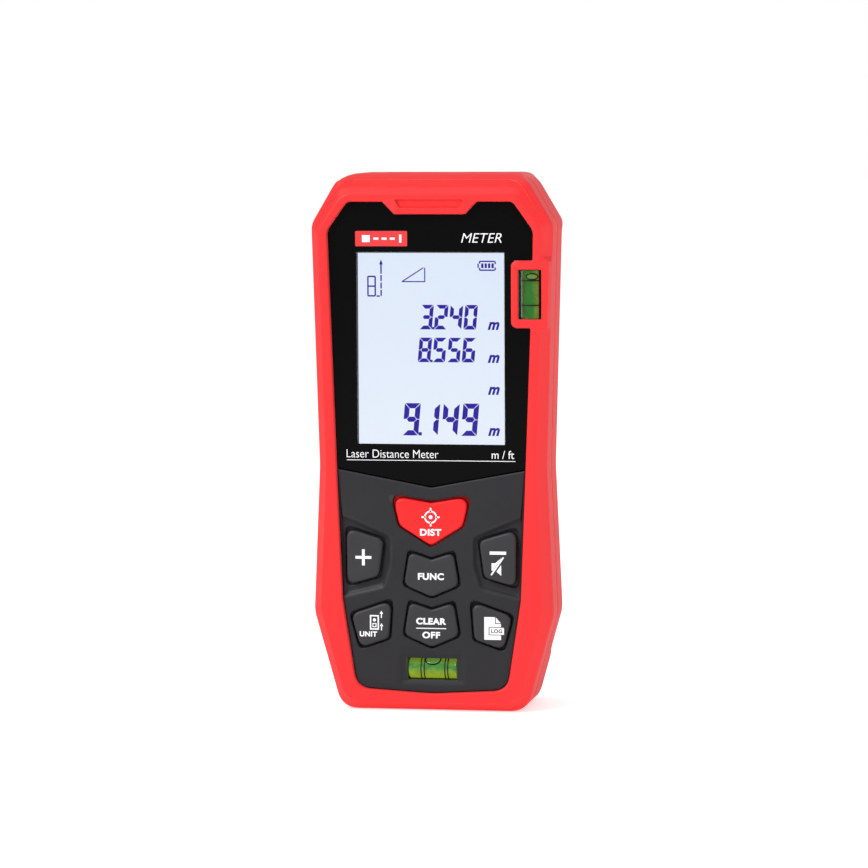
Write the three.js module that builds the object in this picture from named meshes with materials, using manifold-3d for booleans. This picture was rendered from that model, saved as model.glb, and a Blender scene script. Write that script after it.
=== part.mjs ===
// Laser distance meter: a hand-held two-shell instrument with a red rubber jacket, a backlit
// display, seven keys, two spirit levels, a laser module and two AAA cells.
//
// Frame, in millimetres: +Z runs up the instrument from its rear datum end to the end that the
// laser leaves, -Y is the front with the display and keys, and X = 0 is the middle plane.
// The origin lies on the datum end, in the middle of the width and of the depth.

import * as THREE from "three";
import { mergeVertices } from "three/addons/utils/BufferGeometryUtils.js";
import Module from "manifold-3d";

const wasm = await Module();
wasm.setup();

// ---------------------------------------------------------------- driving dimensions

const HEIGHT = 116.4; // datum end to laser end
const DEPTH = 27;
const FRONT = -DEPTH / 2; // front of the rubber jacket
const BACK = DEPTH / 2; // outer face of the back
const GAP = 0.3; // clearance between neighbouring pieces
const JACKET = 2.0; // thickness of the rubber jacket
const WALL = 1.5; // thickness of the moulded shells
const SPLIT = -4.3; // depth where the front and rear halves meet
const SPLIT_GROOVE = 0.4; // width of the groove between the two jackets

const CASE_INSET = JACKET + GAP; // from the outer outline in to the shells
const CAVITY_INSET = CASE_INSET + WALL;
const JACKET_BEVEL = 2.9; // depth of the sloping band round the front
const LIP_BACK = FRONT + 1.3; // back of the jacket's lip round the opening
const RIM_FRONT = LIP_BACK + GAP; // front of the shell under that lip
const PLATE_FRONT = FRONT + 0.8; // face of the keypad plate
const PLATE_BACK = PLATE_FRONT + WALL;
const WINDOW_FRONT = FRONT + 1.2; // face of the display window
const WINDOW_THICK = 1.1;
const TAPE_THICK = 0.3;
const LEDGE_FRONT = WINDOW_FRONT + WINDOW_THICK + TAPE_THICK + 0.1;
const LEDGE_BACK = LEDGE_FRONT + 1.0;
const REAR_JACKET_SIDE = 3.0; // how far back the jacket reaches along the sides
const REAR_JACKET_END = 12.0; // how far back it reaches round both ends
const REAR_CORNER = 6.5; // and how far at the corners of the ends
const END_LEAN = 0.88; // how far the upper end drops towards its front edge
const REAR_WRAP = 10; // height of the wrapped part at each end

const PCB_FRONT = -5.6;
const PCB_BACK = -4.6;
const KEY_FACE = FRONT + 0.1; // top of a key, just behind the jacket
const KEY_CLEARANCE = 0.45; // gap round a key in its hole
const KEY_FLANGE = 0.6; // how far a key's flange reaches under the plate
const KEY_TRAVEL = 0.7;
const DOME_FRONT = PCB_FRONT - 0.45; // crown of a metal dome
const PLUNGER_BACK = DOME_FRONT - KEY_TRAVEL - 0.1;

const LCD = { x: 16.2, low: 58.1, high: 99.6 }; // visible area: half width, bottom, top
const CELL = { r: 5.2, x: 5.45, y: 6.5, low: 14.0, high: 57.3, nub: 1.2 }; // one AAA cell
const BAY = { x: 11.2, front: 1.0, low: 10.6, high: 61.8 }; // inside of the battery bay
const DOOR = { x: 13.2, low: 9.0, high: 63.6, front: 12.3 }; // battery door panel
const LUG = { x: 7, half: 2.5 };
const RECEIVER = { x: -6.6, y: 3.0, r: 5.2 }; // axis and radius of the receiving lens
const EMITTER = { x: 8.6, y: 3.0, r: 3.0 }; // axis and radius of the laser barrel
const SIDE_VIAL = { x: 21.8, y: -11.0, z: 90.5 }; // middle of the upright vial
const CROSS_VIAL = { x: 0, y: -10.3, z: 9.2 }; // middle of the level vial
const VIAL = { half: 5.2, r: 2.25, bore: 1.95, liquid: 1.85 };
const OPTICS_SCREWS = [
  [-15.2, 85],
  [15.2, 85],
];
const STRAP_PIN = { x: -20.3, y: 9.4, z: 20.5 };
const CASE_SCREWS = [
  [16.6, 106.3],
  [-16.6, 106.3],
  [16.8, 51],
  [-16.8, 51],
];

// ---------------------------------------------------------------- outlines
// An outline is a list of corners [x, z, radius], counter-clockwise as seen from the front.

const mirrored = (right) => [
  ...right,
  ...right
    .slice()
    .reverse()
    .filter(([x]) => x !== 0)
    .map(([x, z, r]) => [-x, z, r]),
];

const flipped = (corners) =>
  corners
    .slice()
    .reverse()
    .map(([x, z, r]) => [-x, z, r]);

// The body: chamfered shoulders at the top, a soft waist and a tapered foot.
const BODY = mirrored([
  [20.4, 0, 4.8],
  [26.4, 21.2, 9],
  [25.0, 53, 30],
  [26.5, 105.5, 4.8],
  [20.1, HEIGHT, 6],
]);

// The flat band of the jacket, inside its sloping front edge.
const FACE = mirrored([
  [18.9, 2.2, 4],
  [24.25, 22.0, 7],
  [22.9, 53, 28],
  [24.4, 104.2, 4],
  [19.0, 112, 4],
]);

// The jacket's front opening, with the tab at the top and the housing of the side level.
const OPENING = [
  [0, 3.9, 40],
  [16.6, 4.9, 2.6],
  [19.6, 24.5, 12],
  [20.7, 52, 30],
  [21.9, 83.3, 0.4],
  [17.7, 83.3, 1.5],
  [17.7, 97.8, 1.5],
  [22.4, 97.8, 0.4],
  [22.5, 104.2, 3],
  [18.1, 110.4, 1.8],
  [10.3, 110.4, 0.6],
  [7.7, 107.7, 0.6],
  [-7.7, 107.7, 0.6],
  [-10.3, 110.4, 0.6],
  [-18.1, 110.4, 1.8],
  [-22.5, 104.2, 3],
  [-20.7, 52, 30],
  [-19.6, 24.5, 12],
  [-16.6, 4.9, 2.6],
];

// The chevron that divides the display window from the keypad plate.
const CHEVRON = { side: 52.7, middle: 48.8 };
const abovePlate = [
  [0, CHEVRON.middle, 0.5],
  [30, CHEVRON.side - (20.7 - 30) * 0.19, 0],
  [30, 130, 0],
  [-30, 130, 0],
  [-30, CHEVRON.side - (20.7 - 30) * 0.19, 0],
];

const chevronKey = (tip) => [
  [0, tip, 1.5],
  [6.0, tip + 2.6, 1.2],
  [4.8, tip + 9.7, 0.9],
  [0, tip + 8.1, 0.6],
  [-4.8, tip + 9.7, 0.9],
  [-6.0, tip + 2.6, 1.2],
];
const measureKey = mirrored([
  [0, 36.2, 1.2],
  [6.9, 40.5, 1.6],
  [8.4, 46.8, 1.3],
  [0, 45.4, 1.0],
]);
const upperSideKey = [
  [-18.5, 27.4, 1.2],
  [-11.6, 29.4, 1.2],
  [-10.5, 37.3, 1.2],
  [-18.6, 39.8, 1.2],
];
const lowerSideKey = [
  [-15.7, 13.7, 1.3],
  [-9.4, 15.9, 1.1],
  [-8.8, 24.1, 1.2],
  [-17.7, 21.0, 1.3],
];
// The shallow pocket in the plate round each upper side key, open to the edge of the plate.
const keyPocket = [
  [-21.5, 24.2, 0],
  [-10.4, 27.0, 1.5],
  [-8.9, 32, 2],
  [-8.9, 38.3, 2],
  [-21.5, 43.6, 0],
];

const KEYS = [
  { name: "measure_key", outline: measureKey, at: [0, 42], red: true },
  { name: "plus_key", outline: upperSideKey, at: [-14.7, 33.6] },
  { name: "minus_key", outline: flipped(upperSideKey), at: [14.7, 33.6] },
  { name: "function_key", outline: chevronKey(25.0), at: [0, 29.4] },
  { name: "unit_key", outline: lowerSideKey, at: [-12.9, 18.8] },
  { name: "log_key", outline: flipped(lowerSideKey), at: [12.9, 18.8] },
  { name: "clear_key", outline: chevronKey(14.1), at: [0, 18.5] },
];

// Moves every corner inwards by d; a rounded corner loses that much radius, a hollow one gains it.
function inset(corners, d) {
  const n = corners.length;
  const edge = (i) => {
    const a = corners[(i + n) % n];
    const b = corners[(i + 1) % n];
    return new THREE.Vector2(b[0] - a[0], b[1] - a[1]).normalize();
  };
  return corners.map(([x, z, r], i) => {
    const before = edge(i - 1);
    const after = edge(i);
    const turn = before.cross(after);
    const normal = new THREE.Vector2(-before.y - after.y, before.x + after.x);
    normal.multiplyScalar(d / (1 + before.dot(after)));
    const radius = r === 0 ? 0 : Math.max(0.3, r - Math.sign(turn) * d);
    return [x + normal.x, z + normal.y, radius];
  });
}

// The points of an outline, with each rounded corner as a quadratic curve of a few steps.
function points(corners, steps = 3) {
  const n = corners.length;
  const found = [];
  corners.forEach(([x, z, r], i) => {
    const here = new THREE.Vector2(x, z);
    const towards = (j) => {
      const [a, b] = corners[(j + n) % n];
      return new THREE.Vector2(a, b).sub(here);
    };
    const back = towards(i - 1);
    const on = towards(i + 1);
    const limit = 0.48 * Math.min(back.length(), on.length());
    const halfTurn = (Math.PI - back.angleTo(on)) / 2;
    const reach = Math.min(limit, r * Math.tan(halfTurn));
    const start = here.clone().addScaledVector(back.normalize(), reach);
    const end = here.clone().addScaledVector(on.normalize(), reach);
    if (reach < 0.02) found.push(here);
    else found.push(...new THREE.QuadraticBezierCurve(start, here, end).getPoints(steps));
  });
  return found;
}

// ---------------------------------------------------------------- solids

function solid(geometry) {
  const bare = geometry.index ? geometry.toNonIndexed() : geometry.clone();
  for (const name of Object.keys(bare.attributes)) {
    if (name !== "position") bare.deleteAttribute(name);
  }
  const merged = mergeVertices(bare, 1e-4);
  return new wasm.Manifold(
    new wasm.Mesh({
      numProp: 3,
      vertProperties: merged.attributes.position.array,
      triVerts: new Uint32Array(merged.index.array),
    }),
  );
}

function geometryOf(shape) {
  const mesh = shape.getMesh();
  const geometry = new THREE.BufferGeometry();
  geometry.setAttribute("position", new THREE.BufferAttribute(mesh.vertProperties, 3));
  geometry.setIndex(new THREE.BufferAttribute(mesh.triVerts, 1));
  geometry.computeVertexNormals();
  return geometry;
}

const cut = (shape, ...tools) => tools.reduce((left, tool) => left.subtract(tool), shape);
const join = (shape, ...others) => others.reduce((left, other) => left.add(other), shape);

// A slab with the given outline between two depths.
function slab(corners, front, back, steps = 3) {
  const depth = back - front;
  const outline = new THREE.Shape(points(corners, steps));
  const geometry = new THREE.ExtrudeGeometry(outline, { depth, bevelEnabled: false });
  return solid(geometry.rotateX(Math.PI / 2).translate(0, back, 0));
}

// A closed skin through rings of equal point count, each at its own depth, front ring first.
function loft(rings) {
  const count = rings[0].outline.length;
  const positions = rings.flatMap(({ y, outline }) => outline.flatMap((p) => [p.x, y, p.y]));
  const index = [];
  for (let k = 0; k + 1 < rings.length; k += 1) {
    for (let i = 0; i < count; i += 1) {
      const [a, b] = [k * count + i, k * count + ((i + 1) % count)];
      index.push(a, a + count, b + count, a, b + count, b);
    }
  }
  const last = (rings.length - 1) * count;
  for (const [a, b, c] of THREE.ShapeUtils.triangulateShape(rings[0].outline, [])) {
    index.push(a, b, c);
  }
  for (const [a, b, c] of THREE.ShapeUtils.triangulateShape(rings.at(-1).outline, [])) {
    index.push(last + a, last + c, last + b);
  }
  const geometry = new THREE.BufferGeometry();
  geometry.setAttribute("position", new THREE.Float32BufferAttribute(positions, 3));
  geometry.setIndex(index);
  return solid(geometry);
}

function box([x0, x1], [y0, y1], [z0, z1]) {
  const geometry = new THREE.BoxGeometry(x1 - x0, y1 - y0, z1 - z0);
  return solid(geometry.translate((x0 + x1) / 2, (y0 + y1) / 2, (z0 + z1) / 2));
}

// A cylinder or cone along Y, from the front depth to the back depth.
function roundY(x, z, r, front, back, sides = 20, frontR = r) {
  const geometry = new THREE.CylinderGeometry(r, frontR, back - front, sides);
  return solid(geometry.translate(x, (front + back) / 2, z));
}

function roundZ(x, y, r, low, high, sides = 20, lowR = r) {
  const geometry = new THREE.CylinderGeometry(r, lowR, high - low, sides);
  return solid(geometry.rotateX(Math.PI / 2).translate(x, y, (low + high) / 2));
}

function roundX(y, z, r, left, right, sides = 20) {
  const geometry = new THREE.CylinderGeometry(r, r, right - left, sides);
  return solid(geometry.rotateZ(Math.PI / 2).translate((left + right) / 2, y, z));
}

// ---------------------------------------------------------------- materials

const finish = (color, roughness, metalness = 0, opacity = 1) =>
  new THREE.MeshStandardMaterial({
    color,
    roughness,
    metalness,
    opacity,
    transparent: opacity < 1,
  });

const RUBBER = finish(0xe81a22, 0.55);
const SHELL = finish(0x2f3033, 0.5);
const KEY = finish(0x38393c, 0.45);
const GLOSS = finish(0x0a0a0b, 0.08);
const CLEAR = finish(0xdfe8e6, 0.05, 0, 0.35);
const LIQUID = finish(0x7fb42a, 0.1, 0, 0.8);
const BUBBLE = finish(0xe6f5c0, 0.02, 0, 0.5);
const LCD_GLASS = finish(0xd6e0fb, 0.2);
const WHITE = finish(0xe8e8e4, 0.5);
const TAPE = finish(0x161616, 0.9);
const SILICONE = finish(0x8b8f94, 0.7);
const BOARD = finish(0x1d6a3a, 0.4);
const CHIP = finish(0x1a1a1c, 0.5);
const STEEL = finish(0xb9bcc0, 0.3, 1);
const BRASS = finish(0xc9a24a, 0.3, 1);
const NICKEL = finish(0xd2d0c8, 0.25, 1);
const OPTIC = finish(0xd8e6f0, 0.02, 0, 0.35);
const CELL_LABEL = finish(0x30343c, 0.35, 0.3);
const AMBER = finish(0xb5762a, 0.5);
const FOAM = finish(0x3c3c3c, 0.95);

const meter = new THREE.Group();

function add(name, shape, material) {
  const mesh = new THREE.Mesh(geometryOf(shape), material);
  mesh.name = name;
  meter.add(mesh);
}

// ---------------------------------------------------------------- front half

const body = points(BODY);
const face = points(FACE);
const scaledRing = (d) => points(inset(BODY, d));

function frontJacket() {
  const outside = loft([
    { y: FRONT, outline: face },
    { y: FRONT + JACKET_BEVEL, outline: body },
    { y: SPLIT - SPLIT_GROOVE / 2, outline: body },
  ]);
  // The side level's housing carries the flat band out to the edge.
  const housing = slab(
    [
      [17.7, 83.3, 1.5],
      [25.9, 83.3, 0.4],
      [26.1, 97.8, 0.4],
      [17.7, 97.8, 1.5],
    ],
    FRONT,
    FRONT + JACKET_BEVEL,
  );
  const inside = slab(inset(BODY, JACKET), LIP_BACK, SPLIT + 1);
  const opening = slab(OPENING, FRONT - 1, LIP_BACK + 1);
  // An upside-down trapezium sunk into the tab above the display.
  const tabPanel = slab(
    [
      [6.5, 109.2, 0.3],
      [7.6, 110.9, 0.3],
      [-7.6, 110.9, 0.3],
      [-6.5, 109.2, 0.3],
    ],
    FRONT - 1,
    FRONT + 0.4,
  );
  const levelWindow = box([19.3, 24.3], [FRONT - 1, -8.4], [85.2, 95.8]);
  // The upper end leans back a little in front of the groove.
  const lean = solid(
    new THREE.ExtrudeGeometry(
      new THREE.Shape([
        new THREE.Vector2(HEIGHT, SPLIT),
        new THREE.Vector2(HEIGHT - END_LEAN, FRONT + JACKET_BEVEL),
        new THREE.Vector2(HEIGHT - END_LEAN * 1.4, FRONT - 1),
        new THREE.Vector2(HEIGHT + 5, FRONT - 1),
        new THREE.Vector2(HEIGHT + 5, SPLIT),
      ]),
      { depth: 60, bevelEnabled: false },
    )
      .translate(0, 0, -30)
      .applyMatrix4(
        new THREE.Matrix4().makeBasis(
          new THREE.Vector3(0, 0, 1),
          new THREE.Vector3(0, 1, 0),
          new THREE.Vector3(-1, 0, 0),
        ),
      ),
  );
  return cut(join(outside, housing), inside, opening, tabPanel, levelWindow, lean);
}

// The pilot tubes that the case screws bite into.
const frontPost = ([x, z]) => roundY(x, z, 2.4, LEDGE_BACK - 0.5, -1.6, 10);

function frontCase() {
  const rim = slab(inset(BODY, CASE_INSET), RIM_FRONT, SPLIT);
  const plate = slab(inset(OPENING, GAP), PLATE_FRONT, RIM_FRONT + 0.2);
  const windowSeat = slab(OPENING, FRONT, LEDGE_FRONT).intersect(
    slab(abovePlate, FRONT - 1, LEDGE_FRONT),
  );
  const behindLedge = slab(inset(BODY, CAVITY_INSET), LEDGE_BACK, SPLIT + 1).intersect(
    box([-30, 30], [LEDGE_BACK, SPLIT + 1], [CHEVRON.middle + 2, HEIGHT]),
  );
  const behindPlate = slab(inset(BODY, CAVITY_INSET), PLATE_BACK, SPLIT + 1).intersect(
    box([-30, 30], [PLATE_BACK, SPLIT + 1], [0, CHEVRON.middle + 2.1 - WALL]),
  );
  const throughRib = slab(inset(BODY, CAVITY_INSET), LEDGE_BACK, SPLIT + 1).intersect(
    box([-30, 30], [LEDGE_BACK, SPLIT + 1], [CHEVRON.middle - 4, CHEVRON.middle + 3]),
  );
  const lcdHole = box([-LCD.x - 0.6, LCD.x + 0.6], [-13, LEDGE_BACK + 1], [LCD.low - 0.6, LCD.high + 0.6]);
  const holes = KEYS.map(({ outline }) => slab(inset(outline, -KEY_CLEARANCE), FRONT, -10, 2));
  const pockets = [keyPocket, flipped(keyPocket)].map((p) => slab(p, FRONT, PLATE_FRONT + 0.6, 3));
  const crossLevel = box([-5.4, 5.4], [FRONT, -7], [6.85, 11.55]);
  const sideLevel = box([19.1, 24.6], [FRONT, -8.4], [85.0, 96.0]);
  const shell = cut(
    join(rim, plate),
    windowSeat,
    behindLedge,
    behindPlate,
    throughRib,
    lcdHole,
    ...holes,
    ...pockets,
    crossLevel,
    sideLevel,
  );
  const posts = CASE_SCREWS.map(frontPost);
  const pilots = CASE_SCREWS.map(([x, z]) => roundY(x, z, 1.3, LEDGE_BACK + 1, 0, 8));
  return cut(join(shell, ...posts), ...pilots);
}

const windowOutline = slab(inset(OPENING, GAP), WINDOW_FRONT, WINDOW_FRONT + WINDOW_THICK);
const displayWindow = () =>
  windowOutline.intersect(
    slab(inset(abovePlate, GAP), WINDOW_FRONT - 1, WINDOW_FRONT + WINDOW_THICK + 1),
  );

function windowTape() {
  const front = WINDOW_FRONT + WINDOW_THICK + 0.05;
  const ring = slab(inset(OPENING, 0.6), front, front + TAPE_THICK).intersect(
    slab(inset(abovePlate, 0.7), front - 1, front + 1),
  );
  return cut(
    ring,
    box([-LCD.x - 1, LCD.x + 1], [front - 1, front + 1], [LCD.low - 1, LCD.high + 1]),
    box([18.8, 26], [front - 1, front + 1], [84, 97]),
  );
}

// ---------------------------------------------------------------- display module

const LCD_FRONT = LEDGE_BACK + 0.1;
const lcdBlock = (x, front, back, low, high) => box([-x, x], [front, back], [low, high]);

const lcdPanel = () => lcdBlock(17.8, LCD_FRONT, LCD_FRONT + 1.2, 55.2, 101.4);
const lcdBacklight = () => lcdBlock(17.8, LCD_FRONT + 1.3, LCD_FRONT + 2.8, 55.2, 101.4);

function lcdFrame() {
  const back = PCB_FRONT - 0.1;
  const tray = lcdBlock(18.8, LCD_FRONT + 0.1, back, 54.2, 102.4);
  return cut(
    tray,
    lcdBlock(18.0, LCD_FRONT - 1, LCD_FRONT + 2.9, 55.0, 101.6),
    box([-8.4, 8.4], [LCD_FRONT - 1, back + 1], [53, 55.1]),
  );
}

// The flexible tail from the glass down to its connector on the board.
function lcdRibbon() {
  const tail = box([-8, 8], [LCD_FRONT + 0.5, LCD_FRONT + 0.7], [51.5, 55.1]);
  const drop = box([-8, 8], [LCD_FRONT + 0.5, PCB_FRONT - 0.1], [51.3, 51.5]);
  return join(tail, drop);
}

// ---------------------------------------------------------------- keys

function key({ outline, at: [x, z] }) {
  const crown = loft([
    { y: KEY_FACE, outline: points(inset(outline, 0.45), 3) },
    { y: KEY_FACE + 0.4, outline: points(outline, 3) },
    { y: PLATE_BACK + 0.4, outline: points(outline, 3) },
  ]);
  const reach = KEY_CLEARANCE + KEY_FLANGE;
  const flange = slab(inset(outline, -reach), PLATE_BACK + 0.15, PLATE_BACK + 0.95, 1);
  const plunger = roundY(x, z, 1.3, PLATE_BACK + 0.5, PLUNGER_BACK, 10);
  return join(crown, flange, plunger);
}

const MAT_FRONT = PLATE_BACK + 0.95 + KEY_TRAVEL + 0.1;
const MAT = mirrored([
  [17.2, 13.2, 3],
  [19.3, 24, 6],
  [19.6, 42, 6],
  [11, 48, 2],
]);

function keypadMat() {
  const sheet = slab(MAT, MAT_FRONT, PCB_FRONT - 0.35);
  return cut(sheet, ...KEYS.map(({ at: [x, z] }) => roundY(x, z, 2.7, -12, 0, 10)));
}

// Seven snap domes on one carrier film.
function domeSheet() {
  const film = slab(inset(MAT, 0.4), PCB_FRONT - 0.25, PCB_FRONT - 0.1);
  const domes = KEYS.map(({ at: [x, z] }) =>
    roundY(x, z, 2.1, DOME_FRONT, PCB_FRONT - 0.2, 10, 1.0),
  );
  return join(film, ...domes);
}

// ---------------------------------------------------------------- circuit board

function mainBoard() {
  const board = slab(inset(BODY, CAVITY_INSET + 0.7), PCB_FRONT, PCB_BACK);
  const forPosts = CASE_SCREWS.map(([x, z]) => roundY(x, z, 2.9, -7, 0, 10));
  const forOptics = OPTICS_SCREWS.map(([x, z]) => roundY(x, z, 1.2, -7, 0, 8));
  return cut(board, ...forPosts, ...forOptics);
}

const shieldCan = () => box([-17, -4], [PCB_BACK + 0.1, PCB_BACK + 2.4], [65, 77]);
const processor = () => box([-5, 5], [PCB_BACK + 0.1, PCB_BACK + 1.4], [31, 41]);

function buzzer() {
  const can = roundY(10.5, 71, 5.5, PCB_BACK + 0.1, PCB_BACK + 4.1, 24);
  return cut(can, roundY(10.5, 71, 1.0, PCB_BACK + 3.0, PCB_BACK + 5, 12));
}

// ---------------------------------------------------------------- screws

// A cross-head screw along Y, its head at the back.
function screw([x, z], headBack, length, r = 1.0, headR = 1.95) {
  const head = roundY(x, z, headR, headBack - 1.4, headBack, 12);
  const shank = roundY(x, z, r, headBack - 1.4 - length, headBack - 1.2, 8);
  const slotA = box([x - 1.1, x + 1.1], [headBack - 0.8, headBack + 1], [z - 0.3, z + 0.3]);
  const slotB = box([x - 0.3, x + 0.3], [headBack - 0.8, headBack + 1], [z - 1.1, z + 1.1]);
  return cut(join(head, shank), slotA, slotB);
}

// ---------------------------------------------------------------- rear half

const REAR_FRONT = SPLIT + GAP;

function rearJacket() {
  const front = SPLIT + SPLIT_GROOVE / 2;
  const wrap = loft([
    { y: front, outline: body },
    { y: REAR_JACKET_END - 2.6, outline: body },
    { y: REAR_JACKET_END, outline: scaledRing(1.6) },
  ]);
  const sideCut = (side) => {
    const [low, high] = [REAR_WRAP, HEIGHT - REAR_WRAP];
    const slope = 3;
    const profile = new THREE.Shape([
      new THREE.Vector2(REAR_JACKET_SIDE, low + slope),
      new THREE.Vector2(20, low - slope),
      new THREE.Vector2(20, high + slope),
      new THREE.Vector2(REAR_JACKET_SIDE, high - slope),
    ]);
    const geometry = new THREE.ExtrudeGeometry(profile, { depth: 40, bevelEnabled: false });
    // The profile is drawn in Y and Z and swept along X.
    geometry.applyMatrix4(
      new THREE.Matrix4().makeBasis(
        new THREE.Vector3(0, 1, 0),
        new THREE.Vector3(0, 0, 1),
        new THREE.Vector3(1, 0, 0),
      ),
    );
    return solid(geometry.translate(side > 0 ? 0 : -40, 0, 0));
  };
  // Towards the corners the wrapped ends get shallower.
  const cornerCut = (side) =>
    solid(
      new THREE.ExtrudeGeometry(
        new THREE.Shape(
          [
            [18.2, 20],
            [18.2, REAR_JACKET_END],
            [20.8, REAR_CORNER],
            [40, REAR_CORNER],
            [40, 20],
          ].map(([x, y]) => new THREE.Vector2(side * x, y)),
        ),
        { depth: HEIGHT + 10, bevelEnabled: false },
      ).translate(0, 0, -5),
    );
  const inside = slab(inset(BODY, JACKET), front - 1, 20);
  const apertures = [
    roundZ(RECEIVER.x, RECEIVER.y, RECEIVER.r + 0.9, 110, 120, 32),
    roundZ(EMITTER.x, EMITTER.y, EMITTER.r + 0.7, 110, 120, 24),
  ];
  const corners = [cornerCut(1), cornerCut(-1)];
  return cut(wrap, inside, sideCut(1), sideCut(-1), ...corners, ...apertures);
}

const rearPost = ([x, z]) => roundY(x, z, 3.3, -1.2, 12.5, 12);

function rearCase() {
  const skin = loft([
    { y: REAR_FRONT, outline: scaledRing(CASE_INSET) },
    { y: BACK - 3, outline: scaledRing(CASE_INSET) },
    { y: BACK, outline: scaledRing(CASE_INSET + 2.9) },
  ]);
  const cavity = loft([
    { y: REAR_FRONT - 1, outline: scaledRing(CAVITY_INSET) },
    { y: BACK - 3.4, outline: scaledRing(CAVITY_INSET) },
    { y: BACK - WALL, outline: scaledRing(CAVITY_INSET + 2.4) },
  ]);
  const bayWalls = box([-BAY.x - 1, BAY.x + 1], [0, 12.2], [BAY.low - 1, BAY.high + 1]);
  const doorLedge = box([-14.6, 14.6], [10.8, 12.2], [5.6, 65.2]);
  const strapBlock = box([-22, -15.6], [3.6, 12.4], [15.5, 25.5]).intersect(
    slab(inset(BODY, CASE_INSET + 0.4), 0, 12.4),
  );
  const shell = join(cut(skin, cavity), bayWalls, doorLedge, strapBlock, ...CASE_SCREWS.map(rearPost));
  const lugSlots = [-1, 1].map((s) =>
    box(
      [s * LUG.x - LUG.half - 0.4, s * LUG.x + LUG.half + 0.4],
      [10.0, 12.01],
      [6.6, 11.2],
    ),
  );
  const latchSlot = box([-4.6, 4.6], [10.2, 12.6], [62.4, 64.4]);
  const tools = [
    box([-BAY.x, BAY.x], [BAY.front, 20], [BAY.low, BAY.high]),
    box([-DOOR.x - GAP, DOOR.x + GAP], [DOOR.front - GAP, 20], [DOOR.low - GAP, DOOR.high + GAP]),
    box([-30, -17], [5.5, 20], [STRAP_PIN.z - 3.1, STRAP_PIN.z + 3.1]),
    roundZ(RECEIVER.x, RECEIVER.y, RECEIVER.r + 0.2, 110, 120, 32),
    roundZ(EMITTER.x, EMITTER.y, EMITTER.r - 0.4, 110, 120, 24),
    ...lugSlots,
    latchSlot,
    ...CASE_SCREWS.map(([x, z]) => roundY(x, z, 2.3, 9.0, 20, 12)),
    ...CASE_SCREWS.map(([x, z]) => roundY(x, z, 1.35, -5, 10, 8)),
    roundZ(STRAP_PIN.x, STRAP_PIN.y, 1.0, STRAP_PIN.z - 4.5, STRAP_PIN.z + 4.5, 8),
  ];
  return cut(shell, ...tools);
}

// The steel pin that a wrist strap loops round.
const strapPin = () =>
  roundZ(STRAP_PIN.x, STRAP_PIN.y, 0.8, STRAP_PIN.z - 4.2, STRAP_PIN.z + 4.2, 8);

// ---------------------------------------------------------------- battery door

function batteryDoor() {
  const panelOutline = [
    [-DOOR.x, DOOR.low, 0.8],
    [DOOR.x, DOOR.low, 0.8],
    [DOOR.x, DOOR.high, 1.2],
    [-DOOR.x, DOOR.high, 1.2],
  ];
  const panel = slab(panelOutline, DOOR.front, BACK);
  const lugs = [-1, 1].map((s) => {
    const across = [s * LUG.x - LUG.half, s * LUG.x + LUG.half];
    return join(
      box(across, [10.9, DOOR.front + 0.1], [DOOR.low + 0.1, DOOR.low + 1.4]),
      box(across, [10.9, 11.7], [DOOR.low - 1.8, DOOR.low + 0.2]),
    );
  });
  // A sprung tongue between two slits, with a catch that presses on the bay's end wall.
  const slits = [-5.2, 4.7].map((x) => box([x, x + 0.5], [11, 15], [DOOR.high - 7, DOOR.high + 1]));
  const hook = box([-4, 4], [10.7, DOOR.front + 0.1], [DOOR.high - 0.9, DOOR.high - 0.1]);
  const ridges = [1.2, 2.4, 3.6].map((d) =>
    box([-3.4, 3.4], [BACK - 0.3, BACK + 0.1], [DOOR.high - 2 - d, DOOR.high - 1.5 - d]),
  );
  return cut(join(panel, ...lugs, hook), ...slits, ...ridges);
}

const doorPad = () => box([-9, 9], [CELL.y + CELL.r + 0.05, DOOR.front - 0.05], [22, 50]);

// ---------------------------------------------------------------- cells and contacts

// A cell stands along Z; turned is true where its positive nub points down.
function cell(x, turned) {
  const { y, r, low, high, nub } = CELL;
  if (turned) {
    return join(
      roundZ(x, y, r, low + nub, high + nub, 28),
      roundZ(x, y, 1.9, low, low + nub + 0.1, 16),
    );
  }
  return join(roundZ(x, y, r, low, high, 28), roundZ(x, y, 1.9, high - 0.1, high + nub, 16));
}

// A tapering coil of wire standing on the point base and rising by height.
function coil(x, base, height) {
  const wire = 0.28;
  const turns = 2.5;
  const stepsPerTurn = 10;
  const path = [];
  for (let i = 0; i <= turns * stepsPerTurn; i += 1) {
    const t = i / (turns * stepsPerTurn);
    const angle = t * turns * 2 * Math.PI;
    const r = 3.2 - 1.5 * t;
    path.push(
      new THREE.Vector3(x + r * Math.cos(angle), CELL.y + r * Math.sin(angle), base + height * t),
    );
  }
  const section = new THREE.Shape(new THREE.Path().absarc(0, 0, wire, 0, 2 * Math.PI).getPoints(3));
  const curve = new THREE.CatmullRomCurve3(path);
  return solid(
    new THREE.ExtrudeGeometry(section, {
      steps: turns * stepsPerTurn,
      extrudePath: curve,
      bevelEnabled: false,
    }),
  );
}

const CONTACT = 0.4; // thickness of a contact plate
const BOTTOM_CONTACT = BAY.low + 0.3;
const TOP_CONTACT = BAY.high - 0.3 - CONTACT;
const dimple = (x, low, high, topR, lowR) => roundZ(x, CELL.y, topR, low, high, 12, lowR);
const contactPlate = ([x0, x1], z) => box([x0, x1], [2.2, 11], [z, z + CONTACT]);

function bridgeContact() {
  const top = BOTTOM_CONTACT + CONTACT;
  return join(
    contactPlate([-10.6, 10.6], BOTTOM_CONTACT),
    coil(-CELL.x, top - 0.1, CELL.low - top - 0.4),
    dimple(CELL.x, top - 0.1, CELL.low - 0.15, 1.2, 2.2),
  );
}

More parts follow.
